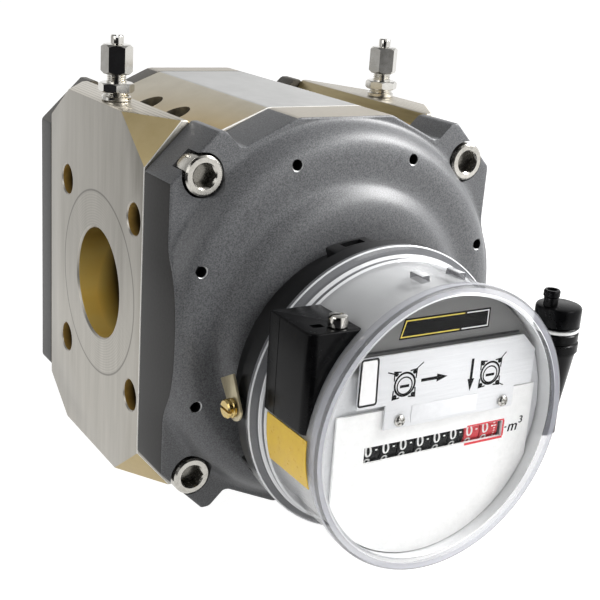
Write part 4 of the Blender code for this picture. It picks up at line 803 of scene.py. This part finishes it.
boss = turned([(0, boss_end), (0.0045, boss_end), (0.0048, boss_end + 0.0003), (0.0048, -rim_radius + 0.003),
               (0, -rim_radius + 0.003)], tab_placing, steps=40)
tray = shaped(tray, boss, "UNION")
tray = shaped(tray, cylinder(0.0027, boss_end - 0.001, boss_end + 0.0045, tab_placing, steps=32))

# Black moulded plastic: a fine spark-eroded texture that keeps a soft sheen
moulded = grained("black_moulded_plastic", "#0B0B0C", "#141415", 0.34, 0.0006, 0.00004, 0.0, 0.05)
piece("index_tray", tray, "index_head", ["index_base"], [moulded])


# Index cap: one clear polycarbonate moulding, with a flat window, a polished ring round it, a
# plain wall and stepped rims at the back, where it is clamped to the tray. Two lugs stand on top.

cap_back, cap_front = 0.1216, 0.1716
cap_radius, ring_radius, cap_rim = 0.0617, 0.0633, 0.0670
cap_wall = 0.0021
inner_radius = cap_radius - cap_wall
cap_profile = [(0, cap_front)]
cap_profile += about(ring_radius, cap_front, (-0.0038, 0), (-0.0033, -0.0004), (-0.0010, -0.0001),
                     (-0.0003, -0.0005), (0, -0.0012), (0, -0.0050), (-0.0004, -0.0058))
cap_profile += [(cap_radius, cap_front - 0.0078)]
cap_profile += about(cap_radius, cap_back, (0, 0.0086), (0.0008, 0.0078), (0.0008, 0.0060), (0.0018, 0.0054),
                     (0.0020, 0.0050), (0.0020, 0.0032))
cap_profile += about(cap_rim, cap_back, (-0.0006, 0.0025), (0, 0.0020), (0, 0.0003), (-0.0003, 0))
cap_profile += [(inner_radius, cap_back), (inner_radius, cap_front - cap_wall - 0.0012),
                (inner_radius - 0.0012, cap_front - cap_wall), (0, cap_front - cap_wall)]
cap = turned(cap_profile, to_head, steps=160)
for place in (80, 97):
    turn = to_head @ Matrix.Rotation(radians(place - 90), 4, "Z")
    lug = [(-0.002, cap_radius - 0.0012), (0.002, cap_radius - 0.0012), (0.002, cap_radius + 0.0026),
           (0.0012, cap_radius + 0.0030), (-0.0012, cap_radius + 0.0030), (-0.002, cap_radius + 0.0026)]
    cap = shaped(cap, eased(extruded(lug, cap_front - 0.0225, cap_front - 0.014, turn), 0.0004), "UNION")


def clear_finish(name, colour, see, edge, roughness):
    """Clear plastic: see is how much of what lies behind is covered face on, and edge at a glance."""
    material, tree, shader = start_finish(name, colour, roughness)
    shader.inputs["IOR"].default_value = 1.58
    glance = add(tree, "ShaderNodeLayerWeight", {"Blend": 0.35}).outputs["Facing"]
    haze = add(tree, "ShaderNodeTexNoise", {"Vector": place_in(tree), "Scale": 60.0, "Detail": 2.0}).outputs[0]
    cover = ramp(tree, glance, 0.0, 1.0, see, edge)
    hazed = ramp(tree, haze, 0.0, 1.0, 0.85, 1.15)
    alpha = add(tree, "ShaderNodeMath", {0: cover, 1: hazed}, operation="MULTIPLY", use_clamp=True).outputs[0]
    tree.links.new(alpha, shader.inputs["Alpha"])
    return material


# Clear polycarbonate: nothing but a weak shine face on, and milkier where the eye looks along the wall. Its ring is
# brighter, its edges, stepped rims and lug tops carry a painted highlight, and its ring chamfer, clamped rim and lug
# sides carry painted shade. The pale sleeve that stands behind the wall makes the inner side milky
window_clear = dulled(clear_finish("clear_polycarbonate_window", "#F4F6F8", 0.0, 0.03, 0.06), 0.12)
wall_clear = clear_finish("clear_polycarbonate_wall", "#D2D3D4", 0.24, 0.50, 0.12)
ring_clear = clear_finish("clear_polycarbonate_ring", "#B4B5BE", 0.42, 0.70, 0.10)
highlight_clear = clear_finish("clear_polycarbonate_painted_highlight", "#F5F6F8", 0.80, 1.0, 0.08)
shade_clear = clear_finish("clear_polycarbonate_shaded_rim", "#4C4D52", 0.55, 0.80, 0.10)
milky_clear = clear_finish("milky_inner_wall", "#DADBDC", 0.92, 1.0, 0.20)


def cap_finish(centre, normal):
    """The window is clearest, the ring and rims are deeper, their corners carry a painted highlight and their outer
    faces painted shade.
    """
    depth, radius = -centre.y, hypot(centre.x, centre.z - pipe_height - head_z)
    faces_front = normal.y < -0.9
    if faces_front and radius < ring_radius - 0.0040 or normal.y > 0.9 and depth > 0.165:
        return window_clear
    if depth > cap_front - 0.0014 and radius > ring_radius - 0.0039:
        if radius < ring_radius - 0.0033:
            return highlight_clear
        return ring_clear if radius < ring_radius - 0.0009 else shade_clear
    if radius > cap_radius + 0.0002 and cap_back + 0.02 < depth < cap_front - 0.010:
        return highlight_clear if abs(normal.z) > 0.7 else shade_clear
    if radius < inner_radius + 0.0003 and depth > cap_back + 0.001:
        return milky_clear
    if depth > cap_front - 0.0060 and radius > cap_radius - 0.0005:
        return ring_clear
    if depth < cap_back + 0.0088 and radius > cap_radius - 0.0003:
        stepped = abs(normal.y) > 0.3 and radius < cap_radius + 0.0019
        return highlight_clear if stepped or radius > cap_rim - 0.0005 and abs(normal.y) > 0.3 else shade_clear
    return wall_clear


piece("clear_cap", cap, "index_head", ["index_cap"],
      [window_clear, wall_clear, ring_clear, highlight_clear, shade_clear, milky_clear], cap_finish)


# Counter frame: a silver moulded chassis behind the window, whose top is darker grey. Its round
# dial carries the plates, and two cheeks below it carry the wheel axle.

# Silver-grey moulded plastic, dull and even, turning darker grey above a height over the dial
frame_grey = grained("grey_moulded_plastic", "#D0D1D3", "#DBDCDE", 0.42, 0.0010, 0.00004, 0.0, 0.05)
height = ramp(frame_grey.node_tree, place_in(frame_grey.node_tree, "Z"), pipe_height + head_z + 0.026,
              pipe_height + head_z + 0.029)
toned(frame_grey, height, "#6B6B6A")
dress("index_frame", frame_grey)


# Scale plate: white coated sheet, punched out for the number wheels. Only the unit and a red
# border round the last two wheels are printed on it, and its lower field is left bare.

scale_back, scale_front = 0.1620, 0.1632
wheel_line = head_z - 0.0083
wheels_left, wheels_right = -0.034, 0.038
dial_edge = 0.059
print_lift = 0.00006


def on_dial(depth):
    """Places a flat drawing of x and height over the pipe axis at a depth in front of the meter."""
    return to_front @ Matrix.Translation((0, 0, depth))


def ribbon(points, width, closed_loop=True):
    """A printed line of one width through points, as flat faces with mitred corners."""
    count = len(points)
    sides = []
    for index, point in enumerate(points):
        here = Vector(point)
        ahead = Vector(points[(index + 1) % count]) - here
        behind = here - Vector(points[index - 1])
        if not closed_loop and index == count - 1:
            ahead = behind
        if not closed_loop and index == 0:
            behind = ahead
        along = (ahead.normalized() + behind.normalized()).normalized()
        across = Vector((-along.y, along.x)) * width / 2 / max(0.4, along.dot(ahead.normalized()))
        sides.append((here + across, here - across))
    faces = []
    last = count if closed_loop else count - 1
    for index in range(last):
        left, right = sides[index]
        next_left, next_right = sides[(index + 1) % count]
        faces.append([left, next_left, next_right, right])
    return faces


def printed(name, shapes, depth, finish):
    """Flat inked shapes just proud of a face, as one thin piece."""
    work = bmesh.new()
    for shape in shapes:
        corners = [work.verts.new((point[0], point[1], 0)) for point in shape]
        face = work.faces.new(corners)
        face.normal_update()
        if face.normal.z < 0:
            face.normal_flip()
    bmesh.ops.transform(work, verts=work.verts, matrix=on_dial(depth + print_lift))
    return piece(name, released(work), "index_head", [], [finish])


def circle(x, z, radius, steps=40):
    """Points of a circle."""
    angles = [2 * pi * step / steps for step in range(steps)]
    return [(x + radius * cos(angle), z + radius * sin(angle)) for angle in angles]


plate = [(0.054, head_z + 0.0108), (-0.049, head_z + 0.0108)]
places = [-0.049 + 0.103 * step / 32 for step in range(33)]
plate += [(x, head_z - sqrt(dial_edge ** 2 - x ** 2)) for x in places]
sheet = extruded(plate, scale_back, scale_front, to_front)
opening = oblong(wheels_left - 0.0005, wheels_right + 0.0005, wheel_line - 0.0036, wheel_line + 0.0036)
sheet = shaped(sheet, extruded(opening, scale_back - 0.001, scale_front + 0.001, to_front))

# White coated sheet, matt and a little uneven; flat black and red screen ink on it; and painted shade, a dark band
# along the panel's top edge
enamel = grained("white_coated_sheet", "#EFEFEE", "#F7F7F6", 0.40, 0.0020, 0.00001, 0.0, 0.03)
piece("white_scale_plate", sheet, "index_head", ["scale_plate"], [enamel])
sheet_shadow = grained("painted_shade_band", "#2C2C2D", "#363637", 0.60, 0.001)
black_ink = dulled(grained("black_screen_ink", "#060606", "#0C0C0C", 0.45, 0.001), 0.08)
red_ink = grained("red_screen_ink", "#D21F2B", "#DE3540", 0.45, 0.001)

red_left, red_right = 0.0186, 0.0392
red_shapes = [oblong(red_left - 0.0006, red_right, wheel_line - 0.0048, wheel_line - 0.0037),
              oblong(red_left, red_right, wheel_line + 0.0037, wheel_line + 0.0044),
              oblong(wheels_right + 0.0006, red_right + 0.0004, wheel_line - 0.0037, wheel_line + 0.0037)]
printed("red_wheel_border", red_shapes, scale_front, red_ink)
printed("unit_tick", [oblong(0.0400, 0.0412, wheel_line - 0.0003, wheel_line + 0.0003)], scale_front, black_ink)


def lettering(text, size, x, z, shear=0.0):
    """Flat characters of the built-in face, with their lower left corner at x and z."""
    curve = bpy.data.curves.new("characters", "FONT")
    curve.body = text
    curve.size = size
    curve.shear = shear
    curve.resolution_u = 4
    curve.fill_mode = "FRONT"
    mesh = settled(linked("characters", curve))
    mesh.transform(Matrix.Translation((x, z, 0)))
    return mesh


def bolder(mesh):
    """Flat characters with a second set just beside them, for broad strokes."""
    beside = mesh.copy()
    beside.transform(Matrix.Translation((0.00025, 0, 0.00001)))
    return merged([mesh, beside])


unit = bolder(merged([lettering("m", 0.0074, 0.0414, wheel_line - 0.0024, 0.2),
                      lettering("3", 0.0048, 0.0476, wheel_line + 0.0008, 0.1)]))
unit.transform(on_dial(scale_front + print_lift))
piece("cubic_metre_unit", unit, "index_head", [], [black_ink])


# Information panel: a bare stainless sheet over the top of the dial, held by two small cross-head
# screws. Printed on it are an empty frame, two plain drawings of a meter with the way the gas
# flows, and below them a raised blank strip.

panel_back, panel_front = 0.1635, 0.1647
panel = about(0, head_z, (-0.041, 0.0352), (-0.041, 0.0134), (-0.027, 0.0134), (-0.027, 0.0025), (0.041, 0.0025),
              (0.041, 0.0120), (0.0505, 0.0120), (0.0505, 0.0277), (0.043, 0.0352))
panel_mesh = eased(extruded(panel[::-1], panel_back, panel_front, to_front), 0.0002)
# Brushed stainless sheet, satin along its brushing, and a smoother silver film for the strip
satin_steel = grained("satin_stainless_sheet", "#DCDDDF", "#E6E7E9", 0.45, (0.020, 0.0008, 0.0008), 0.00001, 0.2, 0.04)
piece("steel_info_panel", panel_mesh, "index_head", ["info_panel"], [satin_steel])
strip = oblong(-0.0138, 0.0206, -0.0178, -0.0102)
strip_mesh = eased(extruded(strip, panel_front, panel_front + 0.00025, to_front), 0.0001)
strip_film = grained("silver_film", "#E3E4E6", "#EAEBED", 0.35, 0.002, 0.00001, 0.2, 0.03)
piece("blank_strip", strip_mesh, "index_head", [], [strip_film])
field = rounded([(-0.0414, -0.0066, 0.001), (-0.0328, -0.0066, 0.001), (-0.0334, 0.0130, 0.001),
                 (-0.0412, 0.0130, 0.001)], 4)
field = [(x + 0.0007, z) for x, z in field]
printed("empty_field", [field], panel_front, enamel)
ink_shapes = ribbon(field, 0.0009)
for x, z in ((-0.0186, -0.0001), (0.0263, -0.0017)):
    ink_shapes += ribbon(circle(x, z, 0.0050), 0.0009) + ribbon(circle(x, z - 0.0006, 0.0037), 0.0006)
    for across in (-1, 1):
        for up in (-1, 1):
            ear = [(x + across * 0.0054, z + up * 0.0020), (x + across * 0.0056, z + up * 0.0060),
                   (x + across * 0.0022, z + up * 0.0056)]
            ink_shapes += ribbon(ear, 0.0006, False)
            ink_shapes.append(circle(x + across * 0.0045, z + up * 0.0049, 0.0010, 12))
    ink_shapes.append(oblong(x - 0.0023, x + 0.0023, z - 0.0014, z - 0.0002))
leaders = (((-0.0240, 0.0050), (-0.0275, 0.0062)), ((-0.0140, 0.0054), (-0.0100, 0.0084)),
           ((0.0308, 0.0036), (0.0340, 0.0068)), ((0.0312, -0.0068), (0.0344, -0.0084)))
for start, end in leaders:
    ink_shapes += ribbon([start, end], 0.0005, False)
for tail, head in (((-0.0104, 0.0004), (0.0032, 0.0004)), ((0.0160, 0.0062), (0.0160, -0.0084))):
    tail, head = Vector(tail), Vector(head)
    along = (head - tail).normalized()
    across = Vector((-along.y, along.x))
    neck = head - along * 0.0056
    shaft = across * 0.0007
    ink_shapes.append([tail + shaft, tail - shaft, neck - shaft, neck + shaft])
    ink_shapes.append([neck + across * 0.0018, neck - across * 0.0018, head])
printed("flow_drawings", ink_shapes, panel_front, black_ink)


def panel_screw():
    """A small pan head screw about the origin, with the seat of its head at height zero."""
    head = turned([(0, 0.0014), (0.0012, 0.00135), (0.0020, 0.0010), (0.0025, 0.0004), (0.0026, 0),
                   (0.0011, 0), (0.0011, -0.0049), (0, -0.0049)], steps=40)
    for angle in (radians(35), radians(125)):
        turn = Matrix.Rotation(angle, 4, "Z")
        head = shaped(head, extruded(oblong(-0.0019, 0.0019, -0.0004, 0.0004), 0.0005, 0.002, turn))
    return head


spots = [((x, -panel_front - 0.0003, pipe_height + head_z + 0.0058), (radians(90), 0, 0))
         for x in (-0.0195, 0.0352)]
# Nickelled steel: a little greyer than the bright nickel of the test points
small_screw = grained("nickelled_screw_steel", "#B5B3AE", "#CDCBC6", 0.26, 0.001, 0.00001, 1.0, 0.06)
screws = set_out("screws on panel", panel_screw(), spots, small_screw)
piece("panel_screws", screws, "index_head", ["panel_screw_left", "panel_screw_right"], [small_screw])


# Type plate: a black printed parallelogram on the dial above the panel, left bare inside its thin
# yellow and white border lines.

type_depth = 0.1617
slant = 0.0021
type_left, type_right, type_low, type_high = -0.0216, 0.0249, 0.0181, 0.0269
# Glossless black film, and the strong yellow ink of its border
print_black = dulled(grained("black_film", "#050505", "#090909", 0.40, 0.002), 0.08)
print_yellow = grained("yellow_screen_ink", "#E8CF3E", "#F0DB58", 0.40, 0.002)
printed("type_plate_black", [[(type_left, type_low), (type_right, type_low), (type_right, type_high),
                              (type_left + slant, type_high)]], type_depth, print_black)
# Painted shade: a dark band on the dial just over the panel's top edge
printed("groove_over_panel", [oblong(-0.0400, 0.0425, 0.0138, 0.0148)], type_depth, sheet_shadow)
inset = 0.0010
low, high = type_low + inset, type_high - inset
break_x = 0.0090
line_gap = 0.0012
printed("type_plate_yellow", ribbon([(break_x, low), (type_left + inset, low), (type_left + slant + inset, high),
                                     (break_x + slant, high)], 0.0005, False), type_depth + print_lift, print_yellow)
printed("type_plate_white", ribbon([(break_x + line_gap, low), (type_right - inset, low), (type_right - inset, high),
                                    (break_x + slant + line_gap, high)], 0.0005, False),
        type_depth + print_lift, enamel)


# Number wheels: eight moulded drums on one axle, six black and two red, with white numbers and
# ticks pressed into the rim. They turn by tenths, so the numbers stand a tenth of a turn apart.

wheel_radius = 0.0095
wheel_pitch = 0.0088
wheel_gap = 0.0004
wheel_axis_depth = 0.1522
number_pitch = 2 * pi * wheel_radius / 10
rest_lift = 0.0011
wheel_placing = Matrix.Translation((0, -wheel_axis_depth, pipe_height + wheel_line))


def rolled(strips, lift):
    """Bend a flat strip, with x along the axle and its height as the way round, onto the drum."""
    work = bmesh.new()
    for mesh in strips:
        work.from_mesh(mesh)
    level = -number_pitch * 0.5
    while level < number_pitch * 10:
        bmesh.ops.bisect_plane(work, geom=work.verts[:] + work.edges[:] + work.faces[:],
                               plane_co=(0, level, 0), plane_no=(0, 1, 0))
        level += 0.00075
    for vertex in work.verts:
        angle = (vertex.co.y + rest_lift) / wheel_radius
        radius = wheel_radius + lift
        vertex.co = (vertex.co.x, -radius * cos(angle), radius * sin(angle))
    return released(work)


def flat_box(low_x, high_x, low_z, high_z):
    """A flat rectangle as a mesh."""
    mesh = bpy.data.meshes.new("flat")
    mesh.from_pydata([(x, z, 0) for x, z in oblong(low_x, high_x, low_z, high_z)], [], [(0, 1, 2, 3)])
    return mesh


figures = []
for figure in range(10):
    figures.append(bolder(lettering(str(figure), 0.0074, 0.0007, figure * number_pitch - 0.0026)))
    figures.append(flat_box(0.0061, 0.0072, figure * number_pitch - 0.0003, figure * number_pitch + 0.0003))
number_band = rolled(figures, 0.00005)
last_ticks = []
for step in range(50):
    level = step * number_pitch / 5
    last_ticks.append(flat_box(0.0074, 0.0084 if step % 5 else 0.0090, level - 0.00022, level + 0.00022))
tick_band = rolled(last_ticks, 0.00005)
# Drum plastics in black and red with a low sheen, and the white ink that fills their numbers
dark_drum = dulled(grained("black_drum_plastic", "#08080A", "#101011", 0.38, 0.001, 0.00002), 0.15)
red_drum = grained("red_drum_plastic", "#C8202C", "#D5313C", 0.38, 0.001, 0.00002)
white_figure = grained("white_figure_ink", "#EDEDEB", "#F6F6F4", 0.42, 0.001)

for index in range(8):
    left = wheels_left + index * wheel_pitch
    right = left + wheel_pitch - wheel_gap + (0.0016 if index == 7 else 0)
    rim = 0.0003
    drum = turned([(0.0022, left), (wheel_radius - rim, left), (wheel_radius, left + rim),
                   (wheel_radius, right - rim), (wheel_radius - rim, right), (0.0022, right)],
                  Matrix.Rotation(radians(90), 4, "Y"), steps=72)
    bands = [number_band.copy()]
    if index == 7:
        bands.append(tick_band.copy())
    for band in bands:
        band.transform(Matrix.Translation((left, 0, 0)))
    drum_faces = len(drum.polygons)
    whole = merged([drum] + bands)
    whole.transform(wheel_placing)
    slot, plastic = ("black_plastic", dark_drum) if index < 6 else ("red_plastic", red_drum)
    item = piece(f"number_drum_{index + 1}", whole, f"wheel_{index + 1}", [f"number_wheel_{index + 1}"],
                 [plastic, white_figure, dark_drum])
    dark_from = {6: left + 0.0054, 7: left + 0.0071}.get(index)
    for polygon in item.data.polygons:
        if polygon.index >= drum_faces:
            polygon.material_index = 1
        elif dark_from and polygon.center.x > dark_from:
            polygon.material_index = 2

# Acetal, the waxy white plastic of small gears
pinion_white = grained("white_acetal", "#E4E3DE", "#EDECE8", 0.40, 0.001, 0.00002)
dress("transfer_pinions", pinion_white)


# Plug box: a black moulded housing for the pulse plug on the left of the cap, with a rounded
# front corner, a seam round its lid and a sealing screw of nickel-plated brass on top.

box_left, box_right, box_front, box_back = -0.0635, -0.038, 0.162, 0.130
box_top, box_bottom = 0.0255, -0.017
plan = rounded([(box_left, -box_front, 0.0042), (box_right, -box_front, 0.0010), (box_right, -box_back, 0.0010),
                (box_left, -box_back, 0.0012)], 6)
box_mesh = eased(extruded(plan, box_bottom, box_top, upright), 0.0008, 50, 3)
cap_space = cylinder(cap_radius + 0.0003, box_back - 0.01, box_front + 0.01, to_head, steps=160)
box_mesh = shaped(box_mesh, cap_space)
seal_x, seal_depth = -0.0480, 0.1565
box_mesh = shaped(box_mesh, drill(0.0027, box_top - 0.0035, box_top, upright, (seal_x, -seal_depth), 24))
seam_depth = box_back + 0.0085
seam = extruded(oblong(box_left - 0.001, box_left + 0.0003, -seam_depth - 0.0002, -seam_depth + 0.0002),
                box_bottom - 0.001, box_top + 0.001, upright)
box_mesh = shaped(box_mesh, seam)
recess = extruded(oblong(box_left + 0.0055, box_left + 0.0105, -box_front + 0.0070, -box_front + 0.0105),
                  box_top - 0.0008, box_top + 0.001, upright)
box_mesh = shaped(box_mesh, recess)
# The same black plastic from a polished mould: smoother, with longer and weaker highlights
gloss_moulded = dulled(grained("black_moulded_plastic_polished", "#060607", "#0C0C0D", 0.24, 0.004, 0.00001, 0.0, 0.04), 0.10)
piece("plug_housing", box_mesh, "index_head", ["plug_box"], [gloss_moulded])
seat = box_top + 0.0003
seal_screw = turned(about(0, seat, (0, 0.0048), (0.0030, 0.0048), (0.0037, 0.0044), (0.0040, 0.0036), (0.0040, 0.0003),
                          (0.0037, 0), (0.0024, 0), (0.0024, -0.0035), (0, -0.0035)), upright, (seal_x, -seal_depth), 48)
slot = extruded(oblong(seal_x - 0.005, seal_x + 0.005, -seal_depth - 0.0006, -seal_depth + 0.0006),
                seat + 0.0032, seat + 0.006, upright)
piece("sealing_screw", shaped(seal_screw, slot), "index_head", ["seal_screw"], [nickel])


# Side label: a plain yellow printed film stuck round the cap under the plug box.

label_radius = cap_radius + 0.0003
label_arc = arc(label_radius + 0.0004, radians(177), radians(197), 24)
label_arc += arc(label_radius, radians(197), radians(177), 24)
label = extruded(label_arc, cap_back + 0.010, cap_front - 0.009, to_head)
# Printed polyester film: an even warm yellow with a soft gloss
film = grained("yellow_printed_film", "#E9BD22", "#F0C93A", 0.34, 0.003)
piece("yellow_side_label", label, "index_head", ["side_label"], [film])


# Seal tab: a stamped brass lever with a slotted brass screw through its eye, which swings over
# the joint between tray and cap and is wired there.

tab_outer = boss_end - 0.0003
tab_sheet = 0.0012
along_side = Matrix(((0, 0, 1, 0), (1, 0, 0, 0), (0, 1, 0, pipe_height), (0, 0, 0, 1)))
tab_eye = 0.006
tab_outline = [(-tab_depth + x, tab_z + z) for x, z in arc(tab_eye, pi, 2 * pi, 16)]
tab_outline += [(-0.1022, -0.0136), (-0.1130, -0.0077)]
tab = extruded(tab_outline, tab_outer - tab_sheet, tab_outer, along_side)
tab = shaped(eased(tab, 0.00025), drill(0.0027, tab_outer - 0.004, tab_outer + 0.002, tab_placing, steps=32))
# Stamped brass sheet, dull with age, and brass turned bright for the screw
dull_brass = grained("dull_brass_sheet", "#BCB091", "#D2C8AA", 0.36, (0.0015, 0.0015, 0.012), 0.00002, 0.6, 0.06)
piece("brass_seal_tab", tab, "tab", ["seal_tab"], [dull_brass])
tab_seat = tab_outer - tab_sheet - 0.0003
tab_screw = turned([(0, tab_outer + 0.0042), (0.0024, tab_outer + 0.0042), (0.0024, tab_seat), (0.0039, tab_seat),
                    (0.0043, tab_seat - 0.0004), (0.0043, tab_seat - 0.0014), (0.0038, tab_seat - 0.0018),
                    (0.0038, tab_seat - 0.0024), (0.0042, tab_seat - 0.0028), (0.0042, tab_seat - 0.0036),
                    (0.0036, tab_seat - 0.0042), (0, tab_seat - 0.0042)], tab_placing, steps=48)
tab_slot = extruded(oblong(-tab_depth - 0.006, -tab_depth + 0.006, tab_z - 0.0006, tab_z + 0.0006),
                    tab_seat - 0.006, tab_seat - 0.0028, along_side)
bright_brass = grained("turned_brass", "#BBA262", "#D0BA84", 0.24, 0.001, 0.00001, 1.0, 0.05)
piece("brass_tab_screw", shaped(tab_screw, tab_slot), "index_head", ["seal_tab_screw"], [bright_brass])


# Drying cartridge: a black moulded cylinder of desiccant on an arm at the right of the cap, with
# grooved collars, a white sealing ring and a cap with a short open spout.

cart_x, cart_depth, cart_radius, cart_top = 0.078, 0.148, 0.0105, 0.018
cap_bottom = cart_top - 0.010
collar = cap_bottom - 0.0022
cart = turned([(0, cap_bottom - 0.0003), (cart_radius - 0.0025, cap_bottom - 0.0003), (cart_radius - 0.0025, collar),
               (cart_radius - 0.0004, collar), (cart_radius, collar - 0.0004), (cart_radius, collar - 0.0034),
               (cart_radius - 0.0006, collar - 0.0038), (cart_radius - 0.0006, collar - 0.0044),
               (cart_radius + 0.0004, collar - 0.0050), (cart_radius + 0.0004, collar - 0.0088),
               (cart_radius - 0.0003, collar - 0.0093), (cart_radius - 0.0003, collar - 0.0098),
               (cart_radius - 0.0006, collar - 0.0105), (0.0064, -0.030), (0.0064, -0.044), (0.0054, -0.045), (0, -0.045)],
              upright, (cart_x, -cart_depth), 64)
arm = extruded(oblong(cap_radius - 0.004, cart_x - 0.006, -cart_depth - 0.006, -cart_depth + 0.006),
               -0.014, 0.001, upright)
arm = shaped(eased(arm, 0.0006), cylinder(cap_radius + 0.0003, cart_depth - 0.02, cart_depth + 0.02,
                                           to_head, steps=160))
piece("cartridge_barrel", shaped(cart, arm, "UNION"), "index_head", ["cartridge_body"],
      [gloss_moulded])
seal_ring = turned([(cart_radius - 0.0006, collar + 0.0003), (cart_radius - 0.0003, collar + 0.0006),
                    (cart_radius - 0.0003, cap_bottom - 0.0006), (cart_radius - 0.0006, cap_bottom - 0.0003),
                    (cart_radius - 0.0022, cap_bottom - 0.0003), (cart_radius - 0.0022, collar + 0.0003)],
                   upright, (cart_x, -cart_depth), 64)
# White silicone rubber, matt and even
white_rubber = grained("white_silicone", "#E2E2E0", "#ECECEA", 0.45, 0.001, 0.00002)
piece("white_cartridge_ring", seal_ring, "index_head", ["cartridge_seal"], [white_rubber])
cart_cap = turned([(0, cart_top), (cart_radius - 0.0016, cart_top), (cart_radius - 0.0005, cart_top - 0.0004),
                   (cart_radius, cart_top - 0.0012), (cart_radius, cap_bottom + 0.0012),
                   (cart_radius - 0.0005, cap_bottom + 0.0009), (cart_radius, cap_bottom + 0.0005),
                   (cart_radius, cap_bottom + 0.0002), (cart_radius - 0.0002, cap_bottom), (0, cap_bottom)],
                  upright, (cart_x, -cart_depth), 64)
spout = turned([(0, cart_top - 0.001), (0.0033, cart_top - 0.001), (0.0033, cart_top + 0.0040), (0.00375, cart_top + 0.0046),
                (0.00375, cart_top + 0.0068), (0.0033, cart_top + 0.0075), (0.0024, cart_top + 0.0075),
                (0.0022, cart_top + 0.0020), (0, cart_top + 0.0020)], upright, (cart_x - 0.0055, -cart_depth), 40)
piece("cartridge_lid", shaped(cart_cap, spout, "UNION"), "index_head", ["cartridge_cap"],
      [gloss_moulded])


# Studio: a plain pale floor that runs out of sight, a soft key light from above on the right, and
# weaker ones from the left and the front. Two dark curtains stand left of the camera and behind
# the meter, and show only as dark reflections. The camera stands where the photograph was taken.

curtains = ((-132, 0.62, 0.80, 1.0), (144, 0.88, 0.96, 0.55))
floor_reach = 6
floor_glow, glow_share = 1.36, 0.72
room_light = 0.20


def curtain(tree, place):
    """How much of the dark curtains lies at a place seen from the meter, for the reflections only."""
    way = vectors(tree, "NORMALIZE", vectors(tree, "MULTIPLY", place, (1, 1, 0)))
    shares = []
    for middle, edge, full, dark in curtains:
        aim = (cos(radians(middle)), sin(radians(middle)), 0)
        shares.append(ramp(tree, vectors(tree, "DOT_PRODUCT", way, aim), edge, full, 0.0, dark))
    glossy = add(tree, "ShaderNodeLightPath").outputs["Is Glossy Ray"]
    return maths(tree, "MULTIPLY", maths(tree, "MAXIMUM", *shares), glossy)


floor_mesh = bpy.data.meshes.new("floor")
corners = oblong(-floor_reach, floor_reach, -floor_reach, floor_reach)
floor_mesh.from_pydata([(x, y, 0) for x, y in corners], [], [(0, 1, 2, 3)])
linked("floor", floor_mesh)
# White paper without any gloss, which lights itself a little so that it stays white to the eye
paper, tree, shader = start_finish("white_paper", "#FFFFFF", 0.9)
dulled(paper, 0.0)
glow = add(tree, "ShaderNodeEmission", {"Color": (1, 1, 1, 1), "Strength": floor_glow}).outputs[0]
path = add(tree, "ShaderNodeLightPath").outputs
seen = maths(tree, "MAXIMUM", path["Is Camera Ray"], path["Is Glossy Ray"])
seen = maths(tree, "MAXIMUM", seen, path["Is Transmission Ray"])
share = maths(tree, "MULTIPLY", seen, glow_share)
mixed = add(tree, "ShaderNodeMixShader", {0: share, 1: shader.outputs[0], 2: glow}).outputs[0]
black = add(tree, "ShaderNodeEmission", {"Color": (0.015, 0.015, 0.017, 1), "Strength": 1.0}).outputs[0]
far = ramp(tree, vectors(tree, "LENGTH", place_in(tree)), 0.30, 0.42)
share = maths(tree, "MULTIPLY", far, curtain(tree, place_in(tree)))
curtained = add(tree, "ShaderNodeMixShader", {0: share, 1: mixed, 2: black}).outputs[0]
tree.links.new(curtained, tree.nodes["Material Output"].inputs["Surface"])
floor_mesh.materials.append(paper)

world = bpy.data.worlds.new("studio")
world.use_nodes = True
bpy.context.scene.world = world
tree = world.node_tree
tree.nodes.clear()
path = add(tree, "ShaderNodeLightPath").outputs
direction = add(tree, "ShaderNodeTexCoord").outputs["Generated"]
height = add(tree, "ShaderNodeSeparateXYZ", {0: direction}).outputs["Z"]
shine = maths(tree, "MULTIPLY", path["Is Glossy Ray"], ramp(tree, height, 0.25, 0.75, 1.0, 0.35))
seen = maths(tree, "MAXIMUM", path["Is Camera Ray"], path["Is Transmission Ray"])
lit = maths(tree, "MAXIMUM", maths(tree, "MAXIMUM", seen, shine), room_light)
strength = maths(tree, "MULTIPLY", lit, maths(tree, "SUBTRACT", 1.0, curtain(tree, direction)))
sky = add(tree, "ShaderNodeBackground", {"Color": (1, 1, 1, 1), "Strength": strength})
add(tree, "ShaderNodeOutputWorld", {"Surface": sky.outputs[0]})


def softbox(name, place, aim, size, power):
    """A soft square lamp at a place, aimed at a point."""
    lamp = bpy.data.lights.new(name, "AREA")
    lamp.shape = "RECTANGLE"
    lamp.size, lamp.size_y = size
    lamp.energy = power
    item = linked(name, lamp)
    item.location = place
    item.rotation_euler = (Vector(aim) - Vector(place)).to_track_quat("-Z", "Y").to_euler()


softbox("key", (0.75, -0.35, 0.80), (0, 0, 0.10), (0.4, 0.4), 17.0)
softbox("fill", (-1.0, -0.35, 0.55), (0, -0.05, 0.10), (0.6, 0.6), 2.6)
softbox("front", (0.40, -0.70, 0.55), (0, -0.1, 0.10), (0.35, 0.35), 1.7)

camera_data = bpy.data.cameras.new("camera")
camera_data.lens = 67.8
camera_data.sensor_width = 36.0
camera_data.clip_start = 0.01
camera_data.clip_end = 50.0
camera = linked("camera", camera_data)
camera.location = (-0.281942, -0.499481, 0.263821)
camera.rotation_euler = [radians(angle) for angle in (71.9186, -3.8924, -30.918)]
bpy.context.scene.camera = camera
bpy.context.scene.view_settings.view_transform = "Standard"
